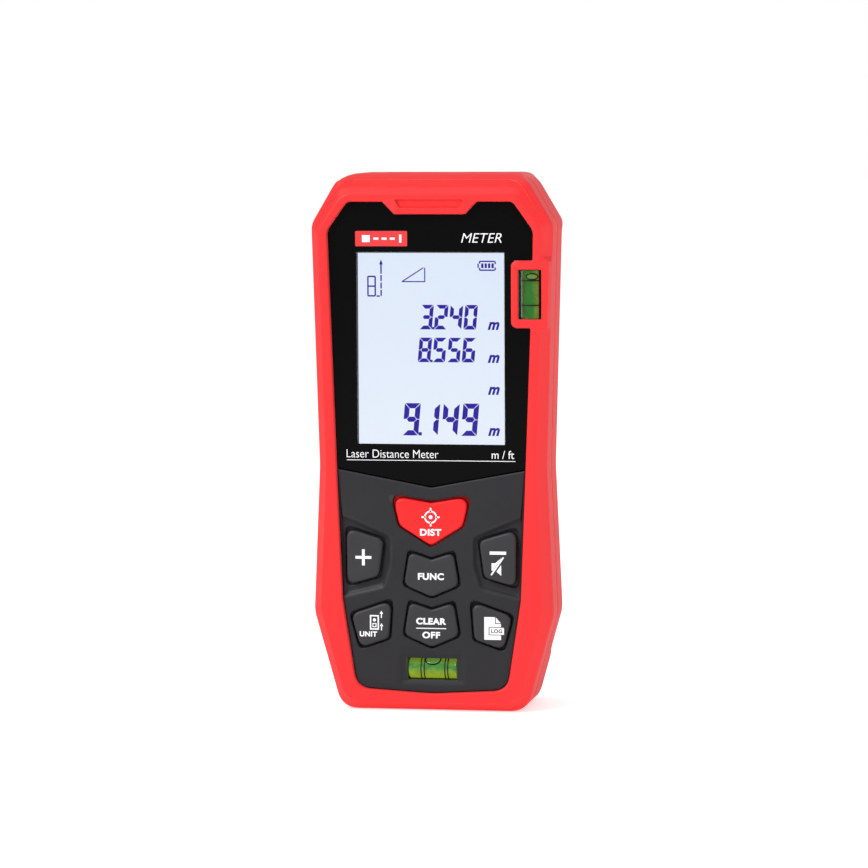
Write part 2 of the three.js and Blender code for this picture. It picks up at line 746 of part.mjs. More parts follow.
function positiveContact() {
  return join(
    contactPlate([-10.6, -0.6], TOP_CONTACT),
    dimple(-CELL.x, CELL.high + CELL.nub + 0.15, TOP_CONTACT + 0.1, 2.2, 1.2),
  );
}

function negativeContact() {
  const length = TOP_CONTACT - (CELL.high + CELL.nub) - 0.4;
  const spring = coil(CELL.x, -0.1, length).mirror([0, 0, 1]).translate(0, 0, TOP_CONTACT);
  return join(contactPlate([0.6, 10.6], TOP_CONTACT), spring);
}

// ---------------------------------------------------------------- optics

const BLOCK = { x: 12.9, front: -3.0, back: 10.6, low: 80, high: 111.8 };

function opticsBlock() {
  const block = box([-BLOCK.x, BLOCK.x], [BLOCK.front, BLOCK.back], [BLOCK.low, BLOCK.high]);
  const ears = OPTICS_SCREWS.map(([x, z]) =>
    box([x - 2.8, x + 2.8], [BLOCK.front, BLOCK.front + 2], [z - 3, z + 3]),
  );
  const funnel = roundZ(RECEIVER.x, RECEIVER.y, RECEIVER.r - 0.6, 84, 108, 24, 1.2);
  return cut(
    join(block, ...ears),
    funnel,
    roundZ(RECEIVER.x, RECEIVER.y, RECEIVER.r + 0.2, 107.9, 120, 24),
    roundZ(RECEIVER.x, RECEIVER.y, 1.2, 70, 85, 12),
    roundZ(EMITTER.x, EMITTER.y, 3.3, 89.3, 120, 20),
    roundZ(EMITTER.x, EMITTER.y, 2.0, 70, 89.4, 16),
    ...OPTICS_SCREWS.map(([x, z]) => roundY(x, z, 1.2, -6, 5, 8)),
  );
}

// A plano-convex lens on the receiving axis, flat face down.
function lens(x, y, r, low, edge, crown) {
  const profile = [new THREE.Vector2(0, 0), new THREE.Vector2(r, 0), new THREE.Vector2(r, edge)];
  for (let i = 1; i <= 5; i += 1) {
    const t = i / 5;
    profile.push(new THREE.Vector2(r * (1 - t), edge + crown * (1 - (1 - t) ** 2)));
  }
  const geometry = new THREE.LatheGeometry(profile, 20).rotateX(Math.PI / 2);
  return solid(geometry.translate(x, y, low));
}

function laserBarrel() {
  const tube = roundZ(EMITTER.x, EMITTER.y, 3.0, 92, 111.5, 20);
  return cut(tube, roundZ(EMITTER.x, EMITTER.y, 2.2, 90, 113, 16));
}

function laserDiode() {
  const { x, y } = EMITTER;
  const flange = roundZ(x, y, 2.8, 89.6, 90.8, 20);
  const can = roundZ(x, y, 1.7, 90.7, 91.9, 16);
  const pins = [0, 1, 2].map((k) => {
    const angle = (k * 2 * Math.PI) / 3;
    return roundZ(x + Math.cos(angle), y + Math.sin(angle), 0.22, 84, 89.7, 6);
  });
  return join(flange, can, ...pins);
}

function receiverBoard() {
  return box([-BLOCK.x, 2], [-1.6, 9.6], [BLOCK.low - 1.8, BLOCK.low - 0.8]);
}

const photodiode = () =>
  cut(
    roundZ(RECEIVER.x, RECEIVER.y, 1.0, BLOCK.low - 0.7, BLOCK.low + 2.5, 16),
    roundZ(RECEIVER.x, RECEIVER.y, 0.4, BLOCK.low + 2.2, BLOCK.low + 3, 8),
  );

const endWindow = ({ x, y, r }, spare) =>
  roundZ(x, y, r + spare, HEIGHT - JACKET + 0.05, HEIGHT - JACKET + 0.95, 28);

// ---------------------------------------------------------------- spirit levels
// Each level is a clear tube closed by a plug, with liquid inside and a channel along the side
// where the bubble runs: the front for the upright level, the top for the level one.

function turned(shape, { x, y, z }, upright) {
  const placed = upright ? shape : shape.rotate([0, 90, 0]);
  return placed.translate(x, y, z);
}

const vialTube = () =>
  cut(
    roundZ(0, 0, VIAL.r, -VIAL.half, VIAL.half, 20),
    roundZ(0, 0, VIAL.bore, -VIAL.half + 0.8, VIAL.half + 1, 20),
  );
const vialPlug = () => roundZ(0, 0, VIAL.bore - 0.1, VIAL.half - 0.8, VIAL.half - 0.05, 20);

// side is the direction of the bubble's channel before the vial is turned.
function vialLiquid(side) {
  const column = roundZ(0, 0, VIAL.liquid, -VIAL.half + 0.9, VIAL.half - 0.9, 20);
  const channel =
    side === "front"
      ? box([-1.25, 1.25], [-3, -0.75], [-VIAL.half + 1.3, VIAL.half])
      : box([-3, -0.75], [-1.2, 1.2], [-VIAL.half + 1.3, VIAL.half - 1.3]);
  return cut(column, channel);
}

const BUBBLE_SIZE = {
  front: { across: 1.15, deep: 0.42, along: 0.65 },
  top: { across: 1.0, deep: 0.38, along: 1.6 },
};
const BUBBLE_OFFSET = 1.22; // from the vial's axis

function bubble(side) {
  const { across, deep, along } = BUBBLE_SIZE[side];
  const sphere = new THREE.SphereGeometry(1, 10, 6);
  const geometry =
    side === "front"
      ? sphere.scale(across, deep, along).translate(0, -BUBBLE_OFFSET, 0)
      : sphere.scale(deep, across, along).translate(-BUBBLE_OFFSET, 0, 0);
  return solid(geometry);
}

// At rest the upright level's bubble floats at the top of its channel.
const SIDE_BUBBLE_RISE = VIAL.half - 0.9 - BUBBLE_SIZE.front.along - 0.15;

// ---------------------------------------------------------------- assembly

add("front_jacket", frontJacket(), RUBBER);
add("rear_jacket", rearJacket(), RUBBER);
add("front_case", frontCase(), SHELL);
add("rear_case", rearCase(), SHELL);
add("strap_pin", strapPin(), STEEL);

add("display_window", displayWindow(), GLOSS);
add("window_tape", windowTape(), TAPE);
add("lcd_panel", lcdPanel(), LCD_GLASS);
add("lcd_backlight", lcdBacklight(), WHITE);
add("lcd_frame", lcdFrame(), WHITE);
add("lcd_ribbon", lcdRibbon(), AMBER);

for (const each of KEYS) add(each.name, key(each), each.red ? RUBBER : KEY);
add("keypad_mat", keypadMat(), SILICONE);
add("dome_sheet", domeSheet(), STEEL);

add("main_board", mainBoard(), BOARD);
add("processor_chip", processor(), CHIP);
add("shield_can", shieldCan(), NICKEL);
add("buzzer", buzzer(), CHIP);

add("optics_block", opticsBlock(), CHIP);
add("receiver_lens", lens(RECEIVER.x, RECEIVER.y, RECEIVER.r, 108.3, 1.2, 2.2), OPTIC);
add("receiver_board", receiverBoard(), BOARD);
add("photodiode", photodiode(), NICKEL);
add("laser_barrel", laserBarrel(), BRASS);
add("collimator_lens", lens(EMITTER.x, EMITTER.y, 2.0, 108.2, 0.8, 0.9), OPTIC);
add("laser_diode", laserDiode(), BRASS);
add("receiver_window", endWindow(RECEIVER, 0.6), GLOSS);
add("emitter_window", endWindow(EMITTER, 0.4), OPTIC);

add("battery_door", batteryDoor(), SHELL);
add("door_pad", doorPad(), FOAM);
add("battery_left", cell(-CELL.x, false), CELL_LABEL);
add("battery_right", cell(CELL.x, true), CELL_LABEL);
add("bridge_contact", bridgeContact(), NICKEL);
add("positive_contact", positiveContact(), NICKEL);
add("negative_contact", negativeContact(), NICKEL);

add("side_vial", turned(vialTube(), SIDE_VIAL, true), CLEAR);
add("side_vial_plug", turned(vialPlug(), SIDE_VIAL, true), CLEAR);
add("side_vial_liquid", turned(vialLiquid("front"), SIDE_VIAL, true), LIQUID);
add("side_bubble", turned(bubble("front").translate(0, 0, SIDE_BUBBLE_RISE), SIDE_VIAL, true), BUBBLE);
add("cross_vial", turned(vialTube(), CROSS_VIAL, false), CLEAR);
add("cross_vial_plug", turned(vialPlug(), CROSS_VIAL, false), CLEAR);
add("cross_vial_liquid", turned(vialLiquid("top"), CROSS_VIAL, false), LIQUID);
add("cross_bubble", turned(bubble("top"), CROSS_VIAL, false), BUBBLE);

CASE_SCREWS.forEach((at, i) => add(`case_screw_${i + 1}`, screw(at, 10.8, 13), STEEL));
OPTICS_SCREWS.forEach((at, i) => {
  add(`optics_screw_${i + 1}`, screw(at, BLOCK.front + 3.7, 4.6, 0.9, 1.7), STEEL);
});

export default meter;
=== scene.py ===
# %% [markdown]
# # A hand-held laser distance meter, built piece by piece
#
# This lesson builds the outside of a small measuring instrument: a red rubber jacket in two
# halves, a dark keypad plate with seven keys, a lit display behind gloss acrylic, two spirit
# levels, and a back with a battery cover. The inside pieces come ready from the CAD model.
#
# The CAD model is loaded first and never moved. It fixes every size and place, so each new piece
# reads where it belongs from the CAD boxes. Sizes in this file are in millimetres, as a maker
# would say them, and are turned into Blender's metres at the last step.

# %% Load the CAD model
import math

import bmesh
import bpy
from mathutils import Matrix, Vector
from mathutils.geometry import delaunay_2d_cdt


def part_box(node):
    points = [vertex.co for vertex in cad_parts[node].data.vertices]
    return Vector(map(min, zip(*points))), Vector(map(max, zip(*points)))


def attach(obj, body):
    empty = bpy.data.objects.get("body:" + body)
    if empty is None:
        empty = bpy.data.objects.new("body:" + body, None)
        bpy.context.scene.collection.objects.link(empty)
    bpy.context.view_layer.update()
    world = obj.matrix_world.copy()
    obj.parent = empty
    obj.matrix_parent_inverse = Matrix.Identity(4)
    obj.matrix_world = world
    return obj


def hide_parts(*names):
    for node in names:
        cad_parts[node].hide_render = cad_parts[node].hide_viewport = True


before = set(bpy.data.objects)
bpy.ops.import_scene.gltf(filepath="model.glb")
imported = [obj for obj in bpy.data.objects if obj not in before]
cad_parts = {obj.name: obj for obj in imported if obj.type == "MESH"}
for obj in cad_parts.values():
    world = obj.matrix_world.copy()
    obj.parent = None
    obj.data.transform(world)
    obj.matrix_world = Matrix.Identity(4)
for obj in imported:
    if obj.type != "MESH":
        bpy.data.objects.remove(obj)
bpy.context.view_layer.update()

MM = 0.001


# %% [markdown]
# ## Depths read from the CAD
#
# The front of the instrument faces -Y, so "deeper" means a larger Y. Each depth below is one
# side of a CAD node's box. Reading them this way keeps every new surface where the CAD has it.

# %% Read depths from the CAD boxes
def low(node, axis="y"):
    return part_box(node)[0]["xyz".index(axis)] / MM


def high(node, axis="y"):
    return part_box(node)[1]["xyz".index(axis)] / MM


def centre_of(node, axes="xyz"):
    return [(low(node, axis) + high(node, axis)) / 2 for axis in axes]


def half_size(node, axis):
    return (high(node, axis) - low(node, axis)) / 2


FRONT = low("front_jacket")
FRONT_JACKET_BACK = high("front_jacket")
REAR_JACKET_FRONT = low("rear_jacket")
REAR_JACKET_BACK = high("rear_jacket")
REAR_CASE_FRONT = low("rear_case")
BACK = high("rear_case")
PLATE_FRONT = low("front_case")
WINDOW_FRONT = low("display_window")
WINDOW_BACK = high("display_window")
KEY_FACE = low("measure_key")
LCD_FACE = low("lcd_panel")
HEIGHT = high("rear_jacket", "z")
HOUSING = "housing"
print("front", FRONT, "plate", PLATE_FRONT, "window", WINDOW_FRONT, "back", BACK)


# %% [markdown]
# ## Outlines
#
# Every part of the front is a flat shape with rounded corners. It could be drawn as Bezier curves
# by hand, but a list of corners with a radius each is easier to read and to mirror. A corner is
# (x, z, radius), and the corners run counter-clockwise as seen from the front.

# %% Lists of corners
def mirrored(right):
    """Adds the left half to the right half of an outline that is given from bottom to top."""
    return right + [(-x, z, r) for x, z, r in reversed(right) if x != 0]


def flipped(corners):
    """The same outline on the other side of the middle plane."""
    return [(-x, z, r) for x, z, r in reversed(corners)]


def rectangle(left, right, bottom, top, radius):
    return [(left, bottom, radius), (right, bottom, radius), (right, top, radius), (left, top, radius)]


SAMPLE = rectangle(-2, 2, -1, 1, 0.3)
print("a sample outline:", SAMPLE)


# %% Move an outline inwards
SMALLEST_RADIUS = 0.12


def inset(corners, distance):
    """Moves an outline inwards. An outer corner loses radius and an inner corner gains it."""
    moved = []
    for i, (x, z, r) in enumerate(corners):
        here = Vector((x, z))
        before = (here - Vector(corners[i - 1][:2])).normalized()
        after = (Vector(corners[(i + 1) % len(corners)][:2]) - here).normalized()
        turn = before.x * after.y - before.y * after.x
        normal = Vector((-before.y - after.y, before.x + after.x))
        here = here + normal * distance / (1 + before.dot(after))
        moved.append((here.x, here.y, max(SMALLEST_RADIUS, r - math.copysign(distance, turn))))
    return moved


print("the sample moved in by 0.1:", [[round(v, 2) for v in corner] for corner in inset(SAMPLE, 0.1)])


# %% Round the corners
def corner_arc(before, here, after, radius, steps):
    """A rounded corner as points on a quadratic curve."""
    back, on = before - here, after - here
    half_turn = (math.pi - back.angle(on)) / 2
    reach = min(0.48 * min(back.length, on.length), max(0.04, radius * math.tan(half_turn)))
    start, end = here + back.normalized() * reach, here + on.normalized() * reach
    arc = []
    for k in range(steps + 1):
        t = k / steps
        arc.append(start * (1 - t) ** 2 + here * 2 * t * (1 - t) + end * t**2)
    return arc


def outline(corners, steps=10):
    """The points of a closed outline."""
    spots = [Vector(c[:2]) for c in corners]
    found = []
    for i, corner in enumerate(corners):
        found += corner_arc(spots[i - 1], spots[i], spots[(i + 1) % len(spots)], corner[2], steps)
    return found


def rounded_path(corners, steps=5):
    """The points of an open path, such as the profile of an edge."""
    spots = [Vector(c[:2]) for c in corners]
    found = [spots[0]]
    for i in range(1, len(corners) - 1):
        found += corner_arc(spots[i - 1], spots[i], spots[i + 1], corners[i][2], steps)
    return [*found, spots[-1]]


print("the sample with round corners has", len(outline(SAMPLE)), "points")


# %% Blends and circles
def between(a, b, t):
    """An outline part of the way from one outline to another with as many points."""
    return [p.lerp(q, t) for p, q in zip(a, b)]


def circle(x, z, radius, sides=48):
    turn = 2 * math.pi / sides
    return [Vector((x + radius * math.cos(k * turn), z + radius * math.sin(k * turn))) for k in range(sides)]


def quarter_round(steps):
    """Shares of a quarter circle: how far out and how far back, from a flat face to its wall."""
    for k in range(steps + 1):
        angle = k / steps * math.pi / 2
        yield 1 - math.sin(angle), 1 - math.cos(angle)


print("a quarter round:", [[round(v, 2) for v in pair] for pair in quarter_round(4)])


# %% [markdown]
# ## Turning outlines into skins
#
# A moulded part with soft edges could be made by extruding an outline and adding a bevel, but the
# bevel fails where outlines are tight. Here each edge is made on purpose instead: rings of points
# are placed at chosen depths, neighbouring rings are joined by strips of faces, and flat faces
# are filled between rings. The result is closed and every rounding has the radius it was given.

# %% Inside test
def inside_of(points, x, z):
    """True where a point lies inside a closed outline."""
    hit = False
    for a, b in zip(points, points[1:] + points[:1]):
        if (a.y > z) != (b.y > z) and x < (b.x - a.x) * (z - a.y) / (b.y - a.y) + a.x:
            hit = not hit
    return hit


print("the middle of the sample is inside:", inside_of(outline(SAMPLE), 0, 0))


# %% Skin helper
def flat_points(loop):
    """The places of a ring's vertices as seen from the front."""
    return [Vector((v.co.x / MM, v.co.z / MM)) for v in loop]


class Skin:
    """A mesh made of rings. Depth is a number, or a function of x and z."""

    def __init__(self):
        self.bm = bmesh.new()

    def ring(self, points, depth):
        at = depth if callable(depth) else lambda x, z: depth
        return [self.bm.verts.new((p.x * MM, at(p.x, p.y) * MM, p.y * MM)) for p in points]

    def strip(self, *rings):
        for a, b in zip(rings, rings[1:]):
            for i in range(len(a)):
                j = (i + 1) % len(a)
                self.bm.faces.new((a[i], a[j], b[j], b[i]))

    def fill(self, *loops, extra=(), depth=None):
        """Fills the first loop, leaving the others as holes. Extra points get their own depth."""
        flat, owners, edges = [], [], []
        rims = [flat_points(loop) for loop in loops]
        for loop, rim in zip(loops, rims):
            first = len(flat)
            flat += rim
            owners += loop
            edges += [(first + i, first + (i + 1) % len(loop)) for i in range(len(loop))]
        net = delaunay_2d_cdt([*flat, *extra], edges, [], 0, 1e-6)
        corners = []
        for spot, sources in zip(net[0], net[3]):
            kept = next((owners[i] for i in sources if i < len(owners)), None)
            if kept is None:
                kept = self.bm.verts.new((spot.x * MM, depth(spot.x, spot.y) * MM, spot.y * MM))
            corners.append(kept)
        for triangle in net[2]:
            middle = sum((net[0][i] for i in triangle), Vector((0, 0))) / 3
            if sum(inside_of(rim, *middle) for rim in rims) % 2:
                self.bm.faces.new([corners[i] for i in triangle])


trial = Skin()
trial.fill(trial.ring(outline(SAMPLE), 0))
print("the sample filled flat has", len(trial.bm.faces), "faces")
trial.bm.free()

# %% [markdown]
# ## From rings to objects
#
# A triangulation can leave a sliver or a slit too small to see, and light leaks through it. So
# each mesh is cleaned as it becomes an object: doubled points are merged, loose wires go, small
# holes are filled and all faces are turned outwards.

# %% Make objects
SAME_PLACE = 1e-7


def mesh_object(name, bm):
    """A new object from a bmesh, with small slits closed and its faces turned outwards."""
    bmesh.ops.remove_doubles(bm, verts=bm.verts, dist=SAME_PLACE)
    bmesh.ops.dissolve_degenerate(bm, dist=SAME_PLACE, edges=bm.edges)
    bmesh.ops.delete(bm, geom=[e for e in bm.edges if e.is_wire], context="EDGES")
    bmesh.ops.holes_fill(bm, edges=[e for e in bm.edges if e.is_boundary], sides=12)
    bmesh.ops.recalc_face_normals(bm, faces=bm.faces)
    mesh = bpy.data.meshes.new(name)
    bm.to_mesh(mesh)
    bm.free()
    made = bpy.data.objects.new(name, mesh)
    bpy.context.scene.collection.objects.link(made)
    return made


def slab(name, points, front, back):
    """A closed block with one flat outline."""
    skin = Skin()
    rings = [skin.ring(points, front), skin.ring(points, back)]
    skin.strip(*rings)
    skin.fill(rings[0])
    skin.fill(rings[1])
    return mesh_object(name, skin.bm)


def box_object(name, x, y, z):
    """A plain box from three (low, high) pairs, used as a cutter or a small lug."""
    bm = bmesh.new()
    bmesh.ops.create_cube(bm, size=MM)
    size = [b - a for a, b in (x, y, z)]
    middle = [(a + b) / 2 * MM for a, b in (x, y, z)]
    place = Matrix.Translation(middle) @ Matrix.Diagonal((*size, 1))
    bmesh.ops.transform(bm, matrix=place, verts=bm.verts)
    return mesh_object(name, bm)


trial = box_object("trial", (-2, 2), (0, 1), (-1, 1))
print("a plain box has", len(trial.data.polygons), "faces")

# %% [markdown]
# ## Cutting, joining and softening
#
# Holes and lugs are made with modifiers, which are settled at once so that the next step starts
# from a plain mesh. Of the boolean solvers the manifold one is used: every mesh here is closed,
# and on closed meshes it is fast and sure, where the exact one can return an empty mesh.

# %% Cut, join and soften
def settle_modifiers(target):
    """Replaces an object's mesh by what its modifiers make of it."""
    bpy.context.view_layer.update()
    result = target.evaluated_get(bpy.context.evaluated_depsgraph_get())
    mesh = bpy.data.meshes.new_from_object(result)
    target.modifiers.clear()
    target.data = mesh


def carve(target, *cutters, operation="DIFFERENCE"):
    """Cuts other objects out of a target, or joins them to it, and removes them."""
    for cutter in cutters:
        step = target.modifiers.new("carve", "BOOLEAN")
        step.operation, step.solver, step.object = operation, "MANIFOLD", cutter
        settle_modifiers(target)
        bpy.data.objects.remove(cutter)


def soften(target, width, segments=3, angle=40):
    """Rounds the edges of a target that are sharper than an angle."""
    step = target.modifiers.new("soften", "BEVEL")
    step.width, step.segments = width * MM, segments
    step.limit_method, step.angle_limit = "ANGLE", math.radians(angle)
    step.use_clamp_overlap = True
    settle_modifiers(target)


carve(trial, box_object("trial_slot", (-1, 1), (0.5, 2), (-2, 2)))
soften(trial, 0.1)
print("cut through and softened it has", len(trial.data.polygons), "faces")
bpy.data.meshes.remove(trial.data)

# %% [markdown]
# ## Handing a piece over
#
# Each finished object gets smooth shading with sharp edges kept, its material and the moving body it
# rides on, and the CAD nodes that it stands for are hidden. One helper does all of this and prints
# what came out, so no piece can be forgotten halfway.

# %% Hand over a piece
FACE_WEIGHT = 80


def piece(made, body, material, stands_for=(), sharp=38):
    """Gives a finished object its shading, its body and its material."""
    for face in made.data.polygons:
        face.use_smooth = True
    made.data.set_sharp_from_angle(angle=math.radians(sharp))
    shading = made.modifiers.new("even_shading", "WEIGHTED_NORMAL")
    shading.keep_sharp, shading.weight = True, FACE_WEIGHT
    made.data.materials.clear()
    made.data.materials.append(material)
    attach(made, body)
    if stands_for:
        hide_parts(*stands_for)
    size = [round(v / MM, 1) for v in made.dimensions]
    print(made.name, "faces", len(made.data.polygons), "size", size)


# %% [markdown]
# ## Turned pieces
#
# Lenses, screws, cells and vials are round about one axis. A lathe makes them from half of their
# profile: a list of (distance along the axis, radius). A profile that starts and ends on the axis
# gives a closed solid. The same helper makes round cutters with a flared mouth.

# %% Lathe helper
AXES = {"x": Vector((1, 0, 0)), "y": Vector((0, 1, 0)), "z": Vector((0, 0, 1))}


def lathe(name, profile, centre, axis, sides=48):
    """Turns a profile of (along, radius) about an axis through centre."""
    bm = bmesh.new()
    turn = AXES["z"].rotation_difference(AXES[axis]).to_matrix().to_4x4()
    place = Matrix.Translation(Vector(centre) * MM) @ turn
    rings = []
    for along, radius in profile:
        if radius < 1e-6:
            rings.append([bm.verts.new(place @ Vector((0, 0, along * MM)))])
            continue
        angles = [2 * math.pi * k / sides for k in range(sides)]
        spots = [(radius * math.cos(a), radius * math.sin(a), along) for a in angles]
        rings.append([bm.verts.new(place @ (Vector(s) * MM)) for s in spots])
    for a, b in zip(rings, rings[1:]):
        for i in range(sides):
            j = (i + 1) % sides
            corners = [a[i % len(a)], a[j % len(a)], b[j % len(b)], b[i % len(b)]]
            bm.faces.new(list(dict.fromkeys(corners)))
    return mesh_object(name, bm)


print("the lathe turns about", list(AXES))


# %% [markdown]
# ## Shared surface effects
#
# Real surfaces are never one even colour. Four small effects do most of the work here, and each
# is a node group, so that any material can use it with its own numbers: a moulded grain for
# bump, a slow drift of tone, the uneven sheen that handling leaves, and a mask for worn edges.

# %% Node group helper
def new_group(name, inputs, outputs):
    tree = bpy.data.node_groups.new(name, "ShaderNodeTree")
    for label, kind, default in inputs:
        socket = tree.interface.new_socket(name=label, in_out="INPUT", socket_type=kind)
        socket.default_value = default
    for label, kind in outputs:
        tree.interface.new_socket(name=label, in_out="OUTPUT", socket_type=kind)
    return tree, tree.nodes.new("NodeGroupInput"), tree.nodes.new("NodeGroupOutput")


def node(tree, kind, links=None, **settings):
    """Adds a node, sets its properties, and fills its inputs by name with values or sockets."""
    made = tree.nodes.new("ShaderNode" + kind)
    for key, value in settings.items():
        setattr(made, key, value)
    for key, value in (links or {}).items():
        if isinstance(value, bpy.types.NodeSocket):
            tree.links.new(value, made.inputs[key])
        else:
            made.inputs[key].default_value = value
    return made


print("node groups so far:", len(bpy.data.node_groups))


# %% Moulded grain
grain_tree, g_in, g_out = new_group(
    "moulded_grain",
    [("Scale", "NodeSocketFloat", 2500.0), ("Pits", "NodeSocketFloat", 0.5)],
    [("Height", "NodeSocketFloat")],
)
place = node(grain_tree, "TexCoord").outputs["Object"]
fine = node(grain_tree, "TexNoise", {"Vector": place, "Scale": g_in.outputs["Scale"], "Detail": 3.0})
cells = node(grain_tree, "TexVoronoi", {"Vector": place, "Scale": g_in.outputs["Scale"]})
pits = node(grain_tree, "Math", {0: cells.outputs["Distance"], 1: g_in.outputs["Pits"]}, operation="MULTIPLY")
total = node(grain_tree, "Math", {0: fine.outputs["Fac"], 1: pits.outputs[0]}, operation="ADD")
grain_tree.links.new(total.outputs[0], g_out.inputs["Height"])
print(grain_tree.name, "has", len(grain_tree.nodes), "nodes")

# %% Tone drift
drift_tree, g_in, g_out = new_group(
    "tone_drift",
    [
        ("Colour", "NodeSocketColor", (0.5, 0.5, 0.5, 1)),
        ("Scale", "NodeSocketFloat", 60.0),
        ("Amount", "NodeSocketFloat", 0.05),
    ],
    [("Colour", "NodeSocketColor")],
)
place = node(drift_tree, "TexCoord").outputs["Object"]
cloud = node(drift_tree, "TexNoise", {"Vector": place, "Scale": g_in.outputs["Scale"], "Detail": 4.0})
centred = node(drift_tree, "Math", {0: cloud.outputs["Fac"], 1: 0.5}, operation="SUBTRACT")
swing = node(drift_tree, "Math", {0: centred.outputs[0], 1: g_in.outputs["Amount"]}, operation="MULTIPLY")
value = node(drift_tree, "Math", {0: swing.outputs[0], 1: 1.0}, operation="ADD")
toned = node(drift_tree, "HueSaturation", {"Color": g_in.outputs["Colour"], "Value": value.outputs[0]})
drift_tree.links.new(toned.outputs["Color"], g_out.inputs["Colour"])
print(drift_tree.name, "has", len(drift_tree.nodes), "nodes")

# %% Handling sheen
sheen_tree, g_in, g_out = new_group(
    "handling_sheen",
    [
        ("Roughness", "NodeSocketFloat", 0.5),
        ("Scale", "NodeSocketFloat", 90.0),
        ("Amount", "NodeSocketFloat", 0.1),
    ],
    [("Roughness", "NodeSocketFloat")],
)
place = node(sheen_tree, "TexCoord").outputs["Object"]
smear = node(
    sheen_tree,
    "TexNoise",
    {"Vector": place, "Scale": g_in.outputs["Scale"], "Detail": 5.0, "Distortion": 0.6},
)
centred = node(sheen_tree, "Math", {0: smear.outputs["Fac"], 1: 0.5}, operation="SUBTRACT")
swing = node(sheen_tree, "Math", {0: centred.outputs[0], 1: g_in.outputs["Amount"]}, operation="MULTIPLY")
rough = node(
    sheen_tree, "Math", {0: g_in.outputs["Roughness"], 1: swing.outputs[0]}, operation="ADD", use_clamp=True
)
sheen_tree.links.new(rough.outputs[0], g_out.inputs["Roughness"])
print(sheen_tree.name, "has", len(sheen_tree.nodes), "nodes")

# %% Worn edges
wear_tree, g_in, g_out = new_group(
    "worn_edges",
    [("Amount", "NodeSocketFloat", 0.3), ("Scale", "NodeSocketFloat", 400.0)],
    [("Mask", "NodeSocketFloat")],
)
place = node(wear_tree, "TexCoord").outputs["Object"]
bend = node(
    wear_tree,
    "MapRange",
    {"Value": node(wear_tree, "NewGeometry").outputs["Pointiness"], "From Min": 0.51, "From Max": 0.58},
)
patch = node(wear_tree, "TexNoise", {"Vector": place, "Scale": g_in.outputs["Scale"], "Detail": 3.0})
broken = node(wear_tree, "Math", {0: bend.outputs[0], 1: patch.outputs["Fac"]}, operation="MULTIPLY")
mask = node(
    wear_tree, "Math", {0: broken.outputs[0], 1: g_in.outputs["Amount"]}, operation="MULTIPLY", use_clamp=True
)
wear_tree.links.new(mask.outputs[0], g_out.inputs["Mask"])
print("shared effects:", [t.name for t in bpy.data.node_groups])


# %% [markdown]
# ## Materials
#
# One helper joins the effects into a finish. The rubber is satin with a fine spark-eroded grain,
# the plastics are a little harder and smoother, and metals are tinted and brushed by the same
# grain at another scale. Values that are the same all over stay on the shader's own sockets.

# %% New materials
def new_material(name):
    """A material with its node tree and its shader."""
    made = bpy.data.materials.new(name)
    made.use_nodes = True
    return made, made.node_tree, made.node_tree.nodes["Principled BSDF"]


def adjust(material, values):
    """Sets plain values on the sockets of a material's shader."""
    shader = material.node_tree.nodes["Principled BSDF"]
    for label, value in values.items():
        shader.inputs[label].default_value = value


print("materials from the CAD:", len(bpy.data.materials))


# %% Opaque and clear finishes
def finish(name, colour, roughness, metallic=0.0, grain=(2600, 0.35, 0.012), drift=(70, 0.08),
           sheen=(90, 0.12), wear=None, coat=0.0, specular=0.5):
    """A material from the shared effects. grain is (scale, pits, bump depth in mm)."""
    made, tree, shader = new_material(name)
    adjust(made, {"Metallic": metallic, "Coat Weight": coat, "Specular IOR Level": specular})

    toned = node(tree, "Group", node_tree=drift_tree)
    toned.inputs["Colour"].default_value = (*colour, 1)
    toned.inputs["Scale"].default_value, toned.inputs["Amount"].default_value = drift
    shade = toned.outputs["Colour"]
    if wear:
        worn = node(tree, "Group", node_tree=wear_tree)
        worn.inputs["Amount"].default_value, lighter = wear
        mixed = node(tree, "Mix", data_type="RGBA")
        tree.links.new(worn.outputs["Mask"], mixed.inputs["Factor"])
        tree.links.new(shade, mixed.inputs[6])
        mixed.inputs[7].default_value = (*lighter, 1)
        shade = mixed.outputs[2]
    tree.links.new(shade, shader.inputs["Base Color"])

    handled = node(tree, "Group", node_tree=sheen_tree)
    handled.inputs["Roughness"].default_value = roughness
    handled.inputs["Scale"].default_value, handled.inputs["Amount"].default_value = sheen
    tree.links.new(handled.outputs["Roughness"], shader.inputs["Roughness"])

    grained = node(tree, "Group", node_tree=grain_tree)
    scale, pitted, depth = grain
    grained.inputs["Scale"].default_value, grained.inputs["Pits"].default_value = scale, pitted
    bump = node(tree, "Bump", {"Height": grained.outputs["Height"], "Distance": depth * MM, "Strength": 0.6})
    tree.links.new(bump.outputs["Normal"], shader.inputs["Normal"])
    return made


def clear(name, tint, roughness=0.02, ior=1.49):
    """A see-through material with a faint unevenness in its surface."""
    made, tree, shader = new_material(name)
    adjust(made, {"Base Color": (*tint, 1), "Transmission Weight": 1.0, "IOR": ior})
    handled = node(tree, "Group", node_tree=sheen_tree)
    handled.inputs["Roughness"].default_value, handled.inputs["Amount"].default_value = roughness, 0.02
    tree.links.new(handled.outputs["Roughness"], shader.inputs["Roughness"])
    return made


print("effects each finish can use:", len(bpy.data.node_groups))


